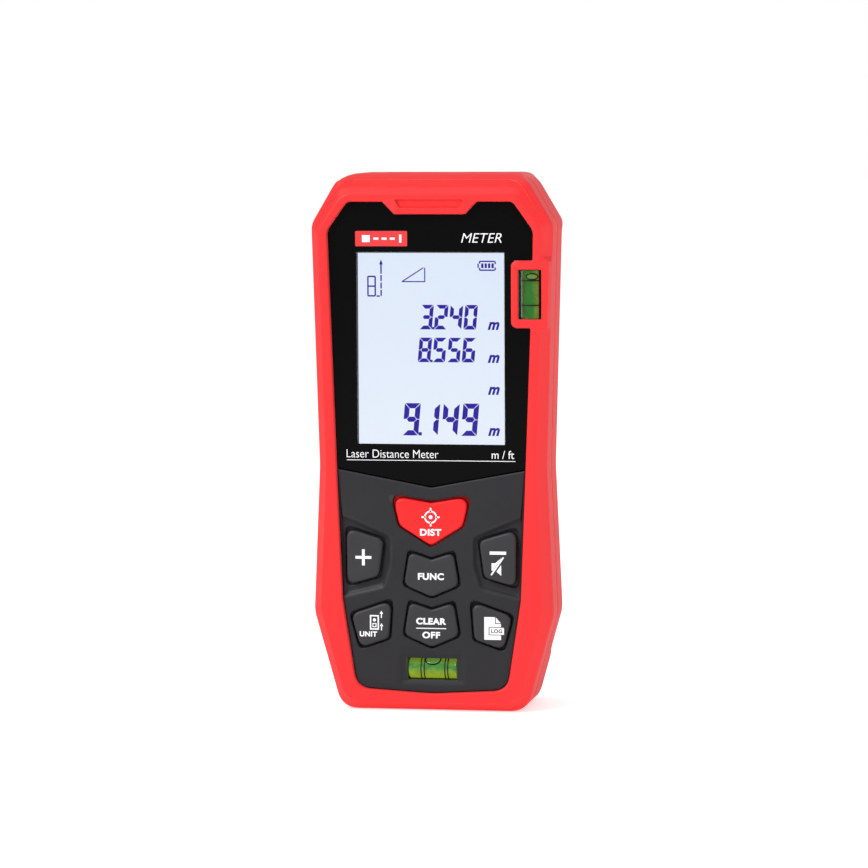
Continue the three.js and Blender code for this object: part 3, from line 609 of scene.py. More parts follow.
# %% Rubbers and plastics
RED = (0.83, 0.0145, 0.0165)
RUBBER = finish("red_rubber", RED, 0.5, grain=(2400, 0.3, 0.010), drift=(45, 0.05),
                wear=(0.35, (0.9, 0.07, 0.07)), specular=0.4)
adjust(RUBBER, {"Sheen Weight": 0.18, "Sheen Roughness": 0.35})
KEY_RED = finish("red_key_rubber", (0.85, 0.012, 0.013), 0.45, grain=(2800, 0.3, 0.007), drift=(60, 0.04),
                 specular=0.3)
KEY_GREY = finish("grey_key_rubber", (0.038, 0.038, 0.041), 0.5, grain=(2600, 0.4, 0.012),
                  drift=(120, 0.25), wear=(0.3, (0.09, 0.09, 0.095)))
PLATE = finish("keypad_plastic", (0.024, 0.024, 0.028), 0.5, grain=(2200, 0.5, 0.014),
               drift=(90, 0.2), wear=(0.5, (0.11, 0.11, 0.115)))
SHELL = finish("shell_plastic", (0.032, 0.033, 0.036), 0.55, grain=(1700, 0.8, 0.03),
               drift=(60, 0.25), wear=(0.5, (0.09, 0.09, 0.095)))
GLOSS = finish("gloss_acrylic", (0.002, 0.002, 0.0022), 0.06, grain=(300, 0.0, 0.0006),
               drift=(40, 0.1), sheen=(140, 0.05), specular=0.3)
PRINT = finish("white_print", (0.86, 0.87, 0.88), 0.45, grain=(3000, 0.2, 0.004), drift=(300, 0.05))
RED_PRINT = finish("red_print", (0.72, 0.03, 0.035), 0.4, grain=(3000, 0.2, 0.003), drift=(200, 0.06))
WHITE = finish("white_plastic", (0.78, 0.78, 0.76), 0.4)
BLACK = finish("black_plastic", (0.015, 0.015, 0.017), 0.45, grain=(1500, 0.6, 0.015))
FOAM = finish("foam", (0.02, 0.02, 0.02), 0.9, grain=(1800, 1.0, 0.05), drift=(400, 0.4))
SILICONE = finish("grey_silicone", (0.27, 0.29, 0.31), 0.6, grain=(1200, 0.2, 0.01))
AMBER = finish("amber_film", (0.5, 0.2, 0.03), 0.25, grain=(600, 0.2, 0.004), drift=(500, 0.5))
BOARD = finish("green_board", (0.012, 0.13, 0.045), 0.3, grain=(900, 0.4, 0.02),
               drift=(700, 0.6), coat=0.4)
print("rubbers and plastics:", len(bpy.data.materials))

# %% Metals and glass
STEEL = finish("plated_steel", (0.55, 0.56, 0.58), 0.3, 1.0, grain=(1400, 0.3, 0.006), drift=(300, 0.25))
NICKEL = finish("nickel_plate", (0.68, 0.65, 0.6), 0.22, 1.0, grain=(900, 0.2, 0.004), drift=(250, 0.2))
BRASS = finish("turned_brass", (0.72, 0.48, 0.16), 0.25, 1.0, grain=(1100, 0.2, 0.005), drift=(300, 0.25))
ACRYLIC = clear("clear_acrylic", (0.97, 0.99, 0.97), 0.03)
LENS = clear("coated_lens", (0.9, 0.95, 1.0), 0.02, 1.52)
CELL = finish("cell_label", (0.03, 0.045, 0.07), 0.28, 0.3, grain=(500, 0.1, 0.003),
              drift=(150, 0.3), coat=0.4)
CELL_BAND = finish("cell_band", (0.45, 0.46, 0.48), 0.25, 0.9, grain=(500, 0.1, 0.003), drift=(150, 0.2))
RECEIVER_FILTER = finish("red_filter_glass", (0.05, 0.004, 0.008), 0.05, grain=(200, 0.0, 0.0005), coat=0.6)
print("finishes so far:", len(bpy.data.materials))


# %% [markdown]
# ## The outer shape
#
# Two outlines give the jacket its form. The body outline is the widest line all round, with
# chamfered shoulders, a soft waist and a tapered foot. The face outline is the edge of the flat
# front. Faces that slope between the two make the wide bevel. Both lists have the same corners,
# so that point by point one can turn into the other. The four corners near z = 90 carry the
# flat face out to the side where the upright spirit level sits.

# %% Body, face and opening outlines
BODY = [
    (20.4, 0, 4.8), (26.4, 21.2, 9), (25.0, 53, 30),
    (25.84, 82.4, 0.3), (25.87, 83.5, 0.3), (26.26, 97.6, 0.3), (26.29, 98.7, 0.3),
    (26.5, 105.5, 4.8), (20.1, HEIGHT, 6),
]
FACE = [
    (18.9, 2.2, 4), (24.25, 22.0, 7), (22.9, 53, 28),
    (23.72, 82.6, 0.5), (25.6, 83.5, 0.5), (25.98, 97.6, 0.5), (24.22, 98.5, 0.5),
    (24.4, 104.2, 4), (19.0, 112, 4),
]
PLAIN_BODY = mirrored([BODY[0], BODY[1], BODY[2], BODY[7], BODY[8]])


def left_side(right, plain):
    """Mirrors an outline's right half, with its four level corners put back on the plain line."""
    (x0, z0, _), (x1, z1, _) = plain
    straight = [(x0 + (x1 - x0) * (z - z0) / (z1 - z0), z, 0.3) for _, z, _ in right[3:7]]
    plain_half = [*right[:3], *straight, *right[7:]]
    return right + [(-x, z, r) for x, z, r in reversed(plain_half)]


BODY = left_side(BODY, (BODY[2], BODY[7]))
FACE = left_side(FACE, (FACE[2], FACE[7]))

OPENING = [
    (0, 3.9, 40), (16.6, 4.9, 4.0), (19.6, 24.5, 12), (20.7, 52, 30),
    (21.9, 83.3, 0.4), (17.7, 83.3, 1.5), (17.7, 97.8, 1.5), (22.4, 97.8, 0.4),
    (22.5, 104.2, 3), (18.1, 110.4, 1.8), (10.3, 110.4, 0.6), (7.7, 107.7, 0.6),
    (-7.7, 107.7, 0.6), (-10.3, 110.4, 0.6), (-18.1, 110.4, 1.8), (-22.5, 104.2, 3),
    (-20.7, 52, 30), (-19.6, 24.5, 12), (-16.6, 4.9, 4.0),
]
LIP_BACK = FRONT + 1.3
TAB_PANEL = [(6.5, 109.1, 0.3), (7.6, 110.9, 0.3), (-7.6, 110.9, 0.3), (-6.5, 109.1, 0.3)]
LEVEL_WINDOW = rectangle(19.25, 24.3, 85.2, 95.85, 0.35)
PANEL_SINK = 0.62
BEVEL_DEPTH = 2.9
BEVEL_WIDTH = 2.6
END_LEAN = 1.75
EDGE_ROUND = 0.35
WALL = 1.3
FACE_EDGE = 0.55
print("face corners", len(FACE), "body corners", len(BODY))


# %% [markdown]
# ## The front jacket
#
# The real jacket is soft rubber moulded over the hard shell. Its section runs from the lip of the
# opening over a small rounding to the flat face, down the wide bevel, along the side and back
# inside. The same section is followed all the way round, which is what a sweep would do, but
# here the two outlines differ from place to place, so the rings are blended between them.

# %% Section of the front jacket
face_ring, body_ring = outline(FACE), outline(BODY)
inner_face_ring = outline(inset(FACE, FACE_EDGE))
section = rounded_path([
    (-FACE_EDGE, FRONT, 0), (0, FRONT, 1.6), (BEVEL_WIDTH, FRONT + BEVEL_DEPTH, 2.2),
    (BEVEL_WIDTH, FRONT_JACKET_BACK, 0),
], steps=6)


def jacket_ring(step):
    """An outline at a step across the section: negative on the face, then down the bevel."""
    if step < 0:
        return between(inner_face_ring, face_ring, 1 + step / FACE_EDGE)
    return between(face_ring, body_ring, min(1, step / BEVEL_WIDTH))


def leaned(points, depth):
    """Lowers the upper end towards the front, with a soft edge where it meets the bevel."""
    reach = min(1, max(0, (FRONT_JACKET_BACK - depth) / (FRONT_JACKET_BACK - FRONT - BEVEL_DEPTH)))
    limit, blend, lower = HEIGHT - END_LEAN * reach ** 1.3, 0.5 * reach, []
    for p in points:
        near = max(0, blend - abs(p.y - limit)) / blend if blend else 0
        lower.append(Vector((p.x, min(p.y, limit) - near * near * blend / 4)))
    return lower


print("points across the section:", len(section), "and round it:", len(face_ring))


# %% A hole with a rounded lip
def lipped_hole(skin, corners, lip, front, back, steps=10):
    """Returns the hole's front and back rings, for filling against."""
    rings = []
    for out, in_by in quarter_round(4):
        rings.append(skin.ring(outline(inset(corners, -lip * out), steps), front + lip * in_by))
    rings.append(skin.ring(outline(corners, steps), back))
    skin.strip(*rings)
    return rings[0], rings[-1]


print("corners of the opening:", len(OPENING))


# %% Front jacket
SIDE_DEPTHS = (-9.5, -7.8, -6.2)
skin = Skin()
outside = [skin.ring(leaned(jacket_ring(p.x), p.y), p.y) for p in section[:-1]]
for depth in SIDE_DEPTHS:
    outside.append(skin.ring(leaned(body_ring, depth), depth))
edge = outline(inset(BODY, EDGE_ROUND))
inner = outline(inset(BODY, WALL))
outside.append(skin.ring(body_ring, FRONT_JACKET_BACK - EDGE_ROUND))
outside.append(skin.ring(between(body_ring, edge, 0.3), FRONT_JACKET_BACK - 0.1))
outside.append(skin.ring(edge, FRONT_JACKET_BACK))
outside.append(skin.ring(inner, FRONT_JACKET_BACK))
outside.append(skin.ring(inner, LIP_BACK))
skin.strip(*outside)
opening_front, opening_back = lipped_hole(skin, OPENING, 0.45, FRONT, LIP_BACK)
level_front, level_back = lipped_hole(skin, LEVEL_WINDOW, 0.25, FRONT, LIP_BACK, 4)
panel_front, panel_floor = lipped_hole(skin, TAB_PANEL, 0.1, FRONT, FRONT + PANEL_SINK, 3)
skin.fill(panel_floor)
skin.fill(outside[0], opening_front, level_front, panel_front)
skin.fill(outside[-1], opening_back, level_back)
piece(mesh_object("jacket_front", skin.bm), HOUSING, RUBBER, ["front_jacket"])


# %% [markdown]
# ## The rear jacket
#
# Behind the groove the jacket goes on. Along the sides it is a low band, so that fingers find the
# hard shell, and at both ends it climbs to the back and guards the corners. It could be cut from
# a full ring, but a cut leaves hard edges. Instead the back edge is a smooth function of height,
# and the rings between the two edges are spread evenly, so the climb is as soft as rubber.

# %% Back edge of the rear jacket
SIDE_BAND_BACK = 3.0
CORNER_BACK = 6.5
END_WRAP = 11.4
CLIMB = 3.2


def smooth_step(t):
    t = min(1, max(0, t))
    return t * t * (3 - 2 * t)


def climb(z):
    """0 along the sides, 1 at the two ends, with a soft slope between."""
    return smooth_step((END_WRAP + CLIMB / 2 - min(z, HEIGHT - z)) / CLIMB)


def fine_outline(corners, gap=0.7):
    """An outline with extra points on its straight runs."""
    rough = outline(corners, 8)
    found = []
    for a, b in zip(rough, rough[1:] + rough[:1]):
        pieces = max(1, math.ceil((b - a).length / gap))
        found += [a.lerp(b, k / pieces) for k in range(pieces)]
    return found


def moved_in(points, distance):
    """Moves points of the body line inwards along their own normals."""
    moved = []
    for i, here in enumerate(points):
        on = points[(i + 1) % len(points)] - points[i - 1]
        moved.append(here + Vector((-on.y, on.x)).normalized() * distance)
    return moved


wide = fine_outline(PLAIN_BODY)
print("points along the body line:", len(wide))


# %% How far back the rear jacket reaches
def back_of(x, z):
    end = CORNER_BACK + (REAR_JACKET_BACK - CORNER_BACK) * smooth_step((20.8 - abs(x)) / 2.6)
    return SIDE_BAND_BACK + (end - SIDE_BAND_BACK) * climb(z)


def edge_size(x, z):
    """How deep the rounding of the back edge is: small at the sides, generous at the ends."""
    return 0.45 + 0.3 * (back_of(x, z) - SIDE_BAND_BACK) * 0.8


def rounding_start(x, z):
    return back_of(x, z) - edge_size(x, z)


print("back edge at the side:", back_of(25, 60), "and at the top end:", back_of(0, HEIGHT))


# %% Rear jacket
skin = Skin()
rings = []
for out, back in ((EDGE_ROUND, 0.0), (0.1, 0.1), (0.0, EDGE_ROUND)):
    rings.append(skin.ring(moved_in(wide, out), REAR_JACKET_FRONT + back))
start = REAR_JACKET_FRONT + EDGE_ROUND
for share in (0.15, 0.35, 0.6, 0.8):
    rings.append(skin.ring(wide, lambda x, z, s=share: start + (rounding_start(x, z) - start) * s))
inwards = moved_in(wide, 1.0)
for along, around in quarter_round(7):
    ring = []
    for here, inner_point in zip(wide, inwards):
        spot = here.lerp(inner_point, 0.7 * edge_size(*here) * around)
        depth = back_of(*here) - edge_size(*here) * along
        ring.append(skin.bm.verts.new((spot.x * MM, depth * MM, spot.y * MM)))
    rings.append(ring)
inside = moved_in(wide, 2.0)
rings.append([skin.bm.verts.new((s.x * MM, back_of(*w) * MM, s.y * MM)) for s, w in zip(inside, wide)])
rings.append(skin.ring(inside, REAR_JACKET_FRONT))
skin.strip(*rings, rings[0])
rear_jacket = mesh_object("jacket_rear", skin.bm)

# %% Round openings for the two optical windows
RECEIVER = centre_of("receiver_lens", "xy")
EMITTER = centre_of("laser_barrel", "xy")
RECEIVER_HOLE = half_size("receiver_window", "x") + 0.3
EMITTER_HOLE = half_size("emitter_window", "x") + 0.3
MOUTH_FLOOR = 112


def flared(name, centre, radius, bottom):
    """A round cutter that widens where it leaves the top face."""
    mouth = [(HEIGHT - 0.5, radius), (HEIGHT - 0.3, radius + 0.06), (HEIGHT - 0.12, radius + 0.2),
             (HEIGHT, radius + 0.42), (HEIGHT + 0.5, radius + 1.1)]
    profile = [(bottom, 0), (bottom, radius), *mouth, (HEIGHT + 0.5, 0)]
    return lathe(name, profile, (*centre, 0), "z", 64)


carve(rear_jacket, flared("cut_a", RECEIVER, RECEIVER_HOLE, MOUTH_FLOOR),
      flared("cut_b", EMITTER, EMITTER_HOLE, MOUTH_FLOOR))
piece(rear_jacket, HOUSING, RUBBER, ["rear_jacket"], sharp=50)


# %% [markdown]
# ## The keypad plate
#
# The plate is flat plastic with seven key holes, a slot for the level, and two shallow pockets
# round the upper side keys. The pocket walls are soft slopes, which would be hard to bevel after a
# cut. So the front is made like a small landscape: a fine net of points, each as deep as its
# distance from the pocket's edge says, with the holes cut exactly by a constrained triangulation.

# %% Key outlines and pocket outlines
CHEVRON_MIDDLE, CHEVRON_SIDE = 48.8, 52.7


def chevron_key(tip):
    return [(0, tip, 2.0), (6.0, tip + 2.6, 1.8), (4.8, tip + 9.7, 1.4),
            (0, tip + 8.1, 0.6), (-4.8, tip + 9.7, 1.4), (-6.0, tip + 2.6, 1.8)]


PLUS = [(-18.5, 27.4, 1.7), (-11.6, 29.4, 1.7), (-10.5, 37.3, 1.7), (-18.6, 39.8, 1.8)]
UNIT = [(-15.7, 13.7, 1.9), (-9.4, 15.9, 1.5), (-8.8, 24.1, 1.8), (-17.7, 21.0, 1.9)]
KEYS = {
    "measure_key": mirrored([(0, 36.2, 1.4), (6.9, 40.5, 2.4), (8.4, 46.8, 2.3), (0, 45.4, 1.2)]),
    "plus_key": PLUS,
    "minus_key": flipped(PLUS),
    "function_key": chevron_key(25.0),
    "unit_key": UNIT,
    "log_key": flipped(UNIT),
    "clear_key": chevron_key(14.1),
}
POCKET = [(-23, 23.7, 0.2), (-10.4, 26.8, 1.6), (-8.9, 32, 2), (-8.9, 38.3, 2), (-23, 44.1, 0.2)]
LEVEL_SLOT = rectangle(-5.42, 5.42, 6.85, 11.55, 0.3)
LEVEL_DISH = rectangle(-7.3, 7.3, 5.7, 12.8, 1.0)
PLATE_OUTLINE = [(0, 3.9, 40), (16.6, 4.9, 4.0), (19.6, 24.5, 12), (20.72, CHEVRON_SIDE, 0.2),
                 (0, CHEVRON_MIDDLE, 0.5), (-20.72, CHEVRON_SIDE, 0.2), (-19.6, 24.5, 12), (-16.6, 4.9, 4.0)]
print("keys:", list(KEYS))


# %% Distance to an outline and depth of the plate
def distance_to(points, x, z):
    """The shortest distance to a closed outline."""
    best = 1e9
    for a, b in zip(points, points[1:] + points[:1]):
        dx, dz = b.x - a.x, b.y - a.y
        t = ((x - a.x) * dx + (z - a.y) * dz) / max(1e-12, dx * dx + dz * dz)
        t = min(1, max(0, t))
        best = min(best, math.hypot(x - a.x - t * dx, z - a.y - t * dz))
    return best


POCKET_DEPTH, POCKET_SLOPE = 0.75, 0.95
DISH_DEPTH, DISH_SLOPE = 0.3, 1.1
pocket_points = outline(POCKET, 4)
dish_points = outline(LEVEL_DISH, 3)


def plate_depth(x, z):
    """How deep the plate's front lies at a point: deeper in the pockets and round the level."""
    depth = PLATE_FRONT
    if 22 < z < 46 and inside_of(pocket_points, -abs(x), z):
        depth += POCKET_DEPTH * smooth_step(distance_to(pocket_points, -abs(x), z) / POCKET_SLOPE)
    if z < 14 and inside_of(dish_points, x, z):
        depth += DISH_DEPTH * smooth_step(distance_to(dish_points, x, z) / DISH_SLOPE)
    return depth


print("depth of the plate beside a side key:", round(plate_depth(-19.5, 33), 2))
print("depth of the plate below the window:", round(plate_depth(0, 47.5), 2))


# %% Keypad plate
KEY_GAP = 0.45
PLATE_GAP = 0.12
PLATE_ROUND = 0.28
HOLE_ROUND = 0.2
PLATE_BACK = PLATE_FRONT + 1.5
skin = Skin()
edge_rings = []
for out, back in quarter_round(4):
    line = outline(inset(PLATE_OUTLINE, PLATE_GAP + PLATE_ROUND * out), 8)
    edge_rings.append(skin.ring(line, lambda x, z, d=PLATE_ROUND * back: plate_depth(x, z) + d))
edge_rings.append(skin.ring(outline(inset(PLATE_OUTLINE, PLATE_GAP), 8), PLATE_BACK))
skin.strip(*edge_rings)

hole_fronts, hole_backs = [], []
for corners, gap, steps in [*((k, KEY_GAP, 6) for k in KEYS.values()), (LEVEL_SLOT, 0, 4)]:
    rings = []
    for out, back in quarter_round(3):
        line = outline(inset(corners, -gap - HOLE_ROUND * out), steps)
        rings.append(skin.ring(line, lambda x, z, d=HOLE_ROUND * back: plate_depth(x, z) + d))
    rings.append(skin.ring(outline(inset(corners, -gap), steps), PLATE_BACK))
    skin.strip(*rings)
    hole_fronts.append(rings[0])
    hole_backs.append(rings[-1])
print("holes in the plate:", len(hole_fronts))

# %% Fill the front of the plate with a fine net
NET = 0.4
rims = [flat_points(loop) for loop in (edge_rings[0], *hole_fronts)]
net_points = []
for row in range(int(50 / NET)):
    for column in range(int(42 / NET)):
        x, z = -21 + (column + 0.5 * (row % 2)) * NET, 3.6 + row * NET
        if inside_of(rims[0], x, z) and not any(inside_of(rim, x, z) for rim in rims[1:]):
            if all(distance_to(rim, x, z) > NET / 2 for rim in rims):
                net_points.append(Vector((x, z)))
skin.fill(edge_rings[0], *hole_fronts, extra=net_points, depth=plate_depth)
skin.fill(edge_rings[-1], *hole_backs)
piece(mesh_object("keypad_plate", skin.bm), HOUSING, PLATE, ["front_case"], sharp=60)

# %% [markdown]
# Behind the jacket's lip the hard front shell goes on as a rim. Only its edge shows, deep in the
# groove between the two jacket halves, so a plain ring with small roundings is enough.

# %% Front shell rim
skin = Skin()
rim_rings = []
rim_front, rim_back = FRONT + 1.6, FRONT_JACKET_BACK + 0.2
rim_section = ((2.4, rim_front), (2.3, FRONT + 1.8), (2.3, rim_back), (3.8, rim_back), (3.8, rim_front))
for out, depth in rim_section:
    rim_rings.append(skin.ring(outline(inset(PLAIN_BODY, out)), depth))
skin.strip(*rim_rings, rim_rings[0])
piece(mesh_object("front_shell_rim", skin.bm), HOUSING, SHELL)


# %% [markdown]
# ## Keys
#
# Each key is a stiff rubber cap with a rounded top edge and a faintly raised middle. A cap could
# be one extruded outline with a bevel. Rings give the same shape with an even rounding, and one
# more ring inside the edge lets the top swell a little, which softens the light on it.

# %% Key caps
KEY_EDGE = 0.55
KEY_SWELL = 0.05


def key_cap(name, corners, material):
    skin = Skin()
    rings = [skin.ring(outline(inset(corners, KEY_EDGE + 0.9), 6), KEY_FACE)]
    for out, back in quarter_round(5):
        line = outline(inset(corners, KEY_EDGE * out), 6)
        rings.append(skin.ring(line, KEY_FACE + KEY_SWELL + KEY_EDGE * back))
    rings.append(skin.ring(outline(corners, 6), PLATE_BACK + 0.3))
    skin.strip(*rings)
    skin.fill(rings[0])
    reach = inset(corners, -KEY_GAP - 0.5)
    foot = [skin.ring(outline(reach, 6), PLATE_BACK + 0.3), skin.ring(outline(reach, 6), PLATE_BACK + 0.9)]
    skin.strip(rings[-1], *foot)
    skin.fill(foot[-1])
    piece(mesh_object(name + "_cap", skin.bm), name, material, [name])


for name, corners in KEYS.items():
    if name == "measure_key":
        key_cap(name, corners, KEY_RED)
    else:
        key_cap(name, corners, KEY_GREY)


# %% [markdown]
# ## Printed marks
#
# Marks on the keys and window are paint a few hundredths of a millimetre thick. They could be
# an image, but shapes stay sharp at any distance. Words use Blender's own font, scaled to the
# height they need, and the symbols are drawn from small polygons. All wording is generic.

# %% Flat marks
INK = 0.03


def bar(a, b, width):
    """A straight stroke between two points."""
    a, b = Vector(a), Vector(b)
    side = Vector((a.y - b.y, b.x - a.x)).normalized() * width / 2
    return [a - side, b - side, b + side, a + side]


def polygon(*places):
    """A filled shape from its corners."""
    return [Vector(place) for place in places]


def stroke_ring(x, z, radius, width, sides=48):
    """A ring as a row of short strokes."""
    rim, core = circle(x, z, radius + width / 2, sides), circle(x, z, radius - width / 2, sides)
    return [[rim[i], rim[(i + 1) % sides], core[(i + 1) % sides], core[i]] for i in range(sides)]


print("a ring has", len(stroke_ring(0, 0, 1, 0.3)), "strokes")


# %% Words
def letters(words, x, z, height, width=None, lean=0.0, bold=0.02):
    """A word as triangles, centred at a point and scaled to a height and a width."""
    curve = bpy.data.curves.new("word", "FONT")
    curve.body, curve.offset, curve.shear = words, bold, lean
    curve.space_character = 1 + 2 * max(0, bold)
    holder = bpy.data.objects.new("word", curve)
    bpy.context.scene.collection.objects.link(holder)
    bpy.context.view_layer.update()
    mesh = bpy.data.meshes.new_from_object(holder.evaluated_get(bpy.context.evaluated_depsgraph_get()))
    bpy.data.objects.remove(holder)
    xs, ys = [v.co.x for v in mesh.vertices], [v.co.y for v in mesh.vertices]
    grow_z = height / (max(ys) - min(ys))
    grow_x = width / (max(xs) - min(xs)) if width else grow_z
    middle = Vector(((max(xs) + min(xs)) / 2, (max(ys) + min(ys)) / 2))
    placed = [
        Vector((x + (v.co.x - middle.x) * grow_x, z + (v.co.y - middle.y) * grow_z)) for v in mesh.vertices
    ]
    return [[placed[i] for i in face.vertices] for face in mesh.polygons]


print("triangles in a three-letter word:", len(letters("OFF", 0, 0, 1)))


# %% Layers of paint
def print_marks(name, shapes, body, front, material, thick=INK):
    """Raises flat polygons into a thin closed layer of paint whose face is at a depth."""
    bm = bmesh.new()
    for shape in shapes:
        bm.faces.new([bm.verts.new((p.x * MM, front * MM, p.y * MM)) for p in shape])
    bmesh.ops.remove_doubles(bm, verts=bm.verts, dist=2e-6)
    bmesh.ops.recalc_face_normals(bm, faces=bm.faces)
    for face in bm.faces:
        if face.normal.y > 0:
            face.normal_flip()
    grown = bmesh.ops.extrude_face_region(bm, geom=list(bm.faces))
    moved = [g for g in grown["geom"] if isinstance(g, bmesh.types.BMVert)]
    bmesh.ops.translate(bm, verts=moved, vec=(0, thick * MM, 0))
    piece(mesh_object(name, bm), body, material, sharp=30)


print("paint is", INK, "mm thick on the keys")


# %% Marks on the keys
KEY_INK = KEY_FACE - 0.025
LAYER = 0.01
aim = [*stroke_ring(0, 42.4, 1.25, 0.34), circle(0, 42.4, 0.42, 32)]
aim += [bar((0, 42.4 + s * 1.0), (0, 42.4 + s * 2.0), 0.34) for s in (-1, 1)]
aim += [bar((s * 1.0, 42.4), (s * 2.0, 42.4), 0.34) for s in (-1, 1)]
aim += letters("DIST", 0, 39.1, 1.5, 4.7, bold=0.038)
print_marks("marks_measure", aim, "measure_key", KEY_INK, PRINT)
plus_sign = [bar((-16.6, 33.45), (-13.1, 33.45), 0.62), bar((-14.85, 31.7), (-14.85, 33.14), 0.62),
             bar((-14.85, 33.76), (-14.85, 35.2), 0.62)]
print_marks("marks_plus", plus_sign, "plus_key", KEY_INK, PRINT)
speaker = polygon((13.3, 31.0), (14.1, 31.0), (15.4, 29.9), (15.4, 33.7), (14.1, 32.6), (13.3, 32.6))
print_marks("marks_minus", [bar((12.9, 34.8), (16.5, 34.8), 0.68), speaker], "minus_key", KEY_INK, PRINT)
print_marks("slash_gap", [bar((13.3, 29.9), (16.0, 33.8), 0.75)], "minus_key", KEY_INK - LAYER,
            KEY_GREY)
print_marks("slash", [bar((13.2, 30.0), (15.9, 33.9), 0.34)], "minus_key", KEY_INK - 2 * LAYER, PRINT)
print_marks("marks_function", letters("FUNC", 0, 29.5, 1.5, 5.7, bold=0.038), "function_key", KEY_INK, PRINT)
clear_marks = letters("CLEAR", 0, 19.75, 1.45, 6.6, bold=0.045)
clear_marks += letters("OFF", 0, 16.75, 1.45, 3.9, bold=0.038)
clear_marks.append(bar((-3.3, 18.2), (3.3, 18.2), 0.2))
print_marks("marks_clear", clear_marks, "clear_key", KEY_INK, PRINT)


# %% Small pictures on the lower side keys
def box_bars(left, right, bottom, top, width):
    """The four sides of a box as strokes that touch but do not overlap."""
    w, low_end, high_end = width / 2, bottom + width + 0.005, top - width - 0.005
    return [bar((left, top - w), (right, top - w), width),
            bar((left, bottom + w), (right, bottom + w), width),
            bar((left + w, low_end), (left + w, high_end), width),
            bar((right - w, low_end), (right - w, high_end), width)]


unit_marks = letters("UNIT", -13.85, 16.75, 1.15, 3.85, bold=0.038)
unit_marks += [*box_bars(-13.5, -11.5, 17.7, 20.9, 0.3), circle(-12.5, 19.85, 0.36, 20),
               *box_bars(-12.95, -12.05, 18.25, 19.15, 0.2)]
for z in (21.2, 18.5):
    unit_marks += [bar((-10.95, z - 0.9), (-10.95, z - 0.02), 0.22),
                   polygon((-11.35, z), (-10.55, z), (-10.95, z + 0.65))]
print_marks("marks_unit", unit_marks, "unit_key", KEY_INK, PRINT)
page = polygon((11.64, 15.95), (15.3, 15.95), (15.3, 19.6), (14.1, 20.9), (11.64, 20.9))
print_marks("marks_log", [page], "log_key", KEY_INK, PRINT)
fold = [bar((14.0, 19.5), (15.4, 19.5), 0.16), bar((14.08, 19.59), (14.08, 21.0), 0.16),
        polygon((12.6, 16.95), (16.15, 16.95), (16.15, 18.75), (12.6, 18.75))]
print_marks("label_gap", fold, "log_key", KEY_INK - LAYER, KEY_GREY)
label = polygon((12.8, 17.1), (15.95, 17.1), (15.95, 18.6), (12.8, 18.6))
print_marks("label", [label], "log_key", KEY_INK - 2 * LAYER, PRINT)
print_marks("label_word", letters("LOG", 14.37, 17.85, 0.85, 2.4, bold=0.03), "log_key",
            KEY_INK - 3 * LAYER, KEY_GREY)


# %% [markdown]
# ## The display window
#
# The window is one sheet of clear acrylic, printed black behind except over the display. It could
# be modelled as clear plastic over a black film. A black gloss plate with a clear pane let into
# it looks the same and keeps the light paths short, so the picture stays clean.

# %% Window plate and pane
LCD = {"left": -16.2, "right": 16.2, "bottom": 58.1, "top": 99.6}
WINDOW_OUTLINE = [
    (0, CHEVRON_MIDDLE, 0.5), (20.72, CHEVRON_SIDE, 0.2),
    (21.9, 83.3, 0.4), (17.7, 83.3, 1.5), (17.7, 97.8, 1.5), (22.4, 97.8, 0.4),
    (22.5, 104.2, 3), (18.1, 110.4, 1.8), (10.3, 110.4, 0.6), (7.7, 107.7, 0.6),
    (-7.7, 107.7, 0.6), (-10.3, 110.4, 0.6), (-18.1, 110.4, 1.8), (-22.5, 104.2, 3),
    (-20.72, CHEVRON_SIDE, 0.2),
]
WINDOW_GAP = 0.1
WINDOW_ROUND = 0.15
skin = Skin()
rings = []
for out, back in quarter_round(3):
    line = outline(inset(WINDOW_OUTLINE, WINDOW_GAP + WINDOW_ROUND * out), 6)
    rings.append(skin.ring(line, WINDOW_FRONT + WINDOW_ROUND * back))
rings.append(skin.ring(outline(inset(WINDOW_OUTLINE, WINDOW_GAP), 6), WINDOW_BACK))
skin.strip(*rings)
pane_hole = rectangle(LCD["left"], LCD["right"], LCD["bottom"], LCD["top"], 0.25)
hole = [skin.ring(outline(pane_hole, 4), WINDOW_FRONT), skin.ring(outline(pane_hole, 4), WINDOW_BACK)]
skin.strip(*hole)
skin.fill(rings[0], hole[0])
skin.fill(rings[-1], hole[-1])
piece(mesh_object("window_plate", skin.bm), HOUSING, GLOSS, ["display_window"])

pane = slab("window_pane", outline(inset(pane_hole, 0.01), 4), WINDOW_FRONT, WINDOW_BACK - 0.1)
piece(pane, HOUSING, ACRYLIC)

# %% Painted highlight along the display's edge
# The thin white strips are painted highlight. They stand for light caught by the bezel's edge round the
# display.
painted_edge_highlight = [bar((x, LCD["bottom"]), (x, LCD["top"] - 0.25), 0.22)
             for x in (LCD["left"] + 0.11, LCD["right"] - 0.11)]
painted_edge_highlight.append(bar((LCD["left"], LCD["top"] - 0.12), (LCD["right"], LCD["top"] - 0.12), 0.24))
print_marks("display_painted_highlight", painted_edge_highlight, HOUSING, WINDOW_BACK - 0.05, PRINT, thick=0.03)

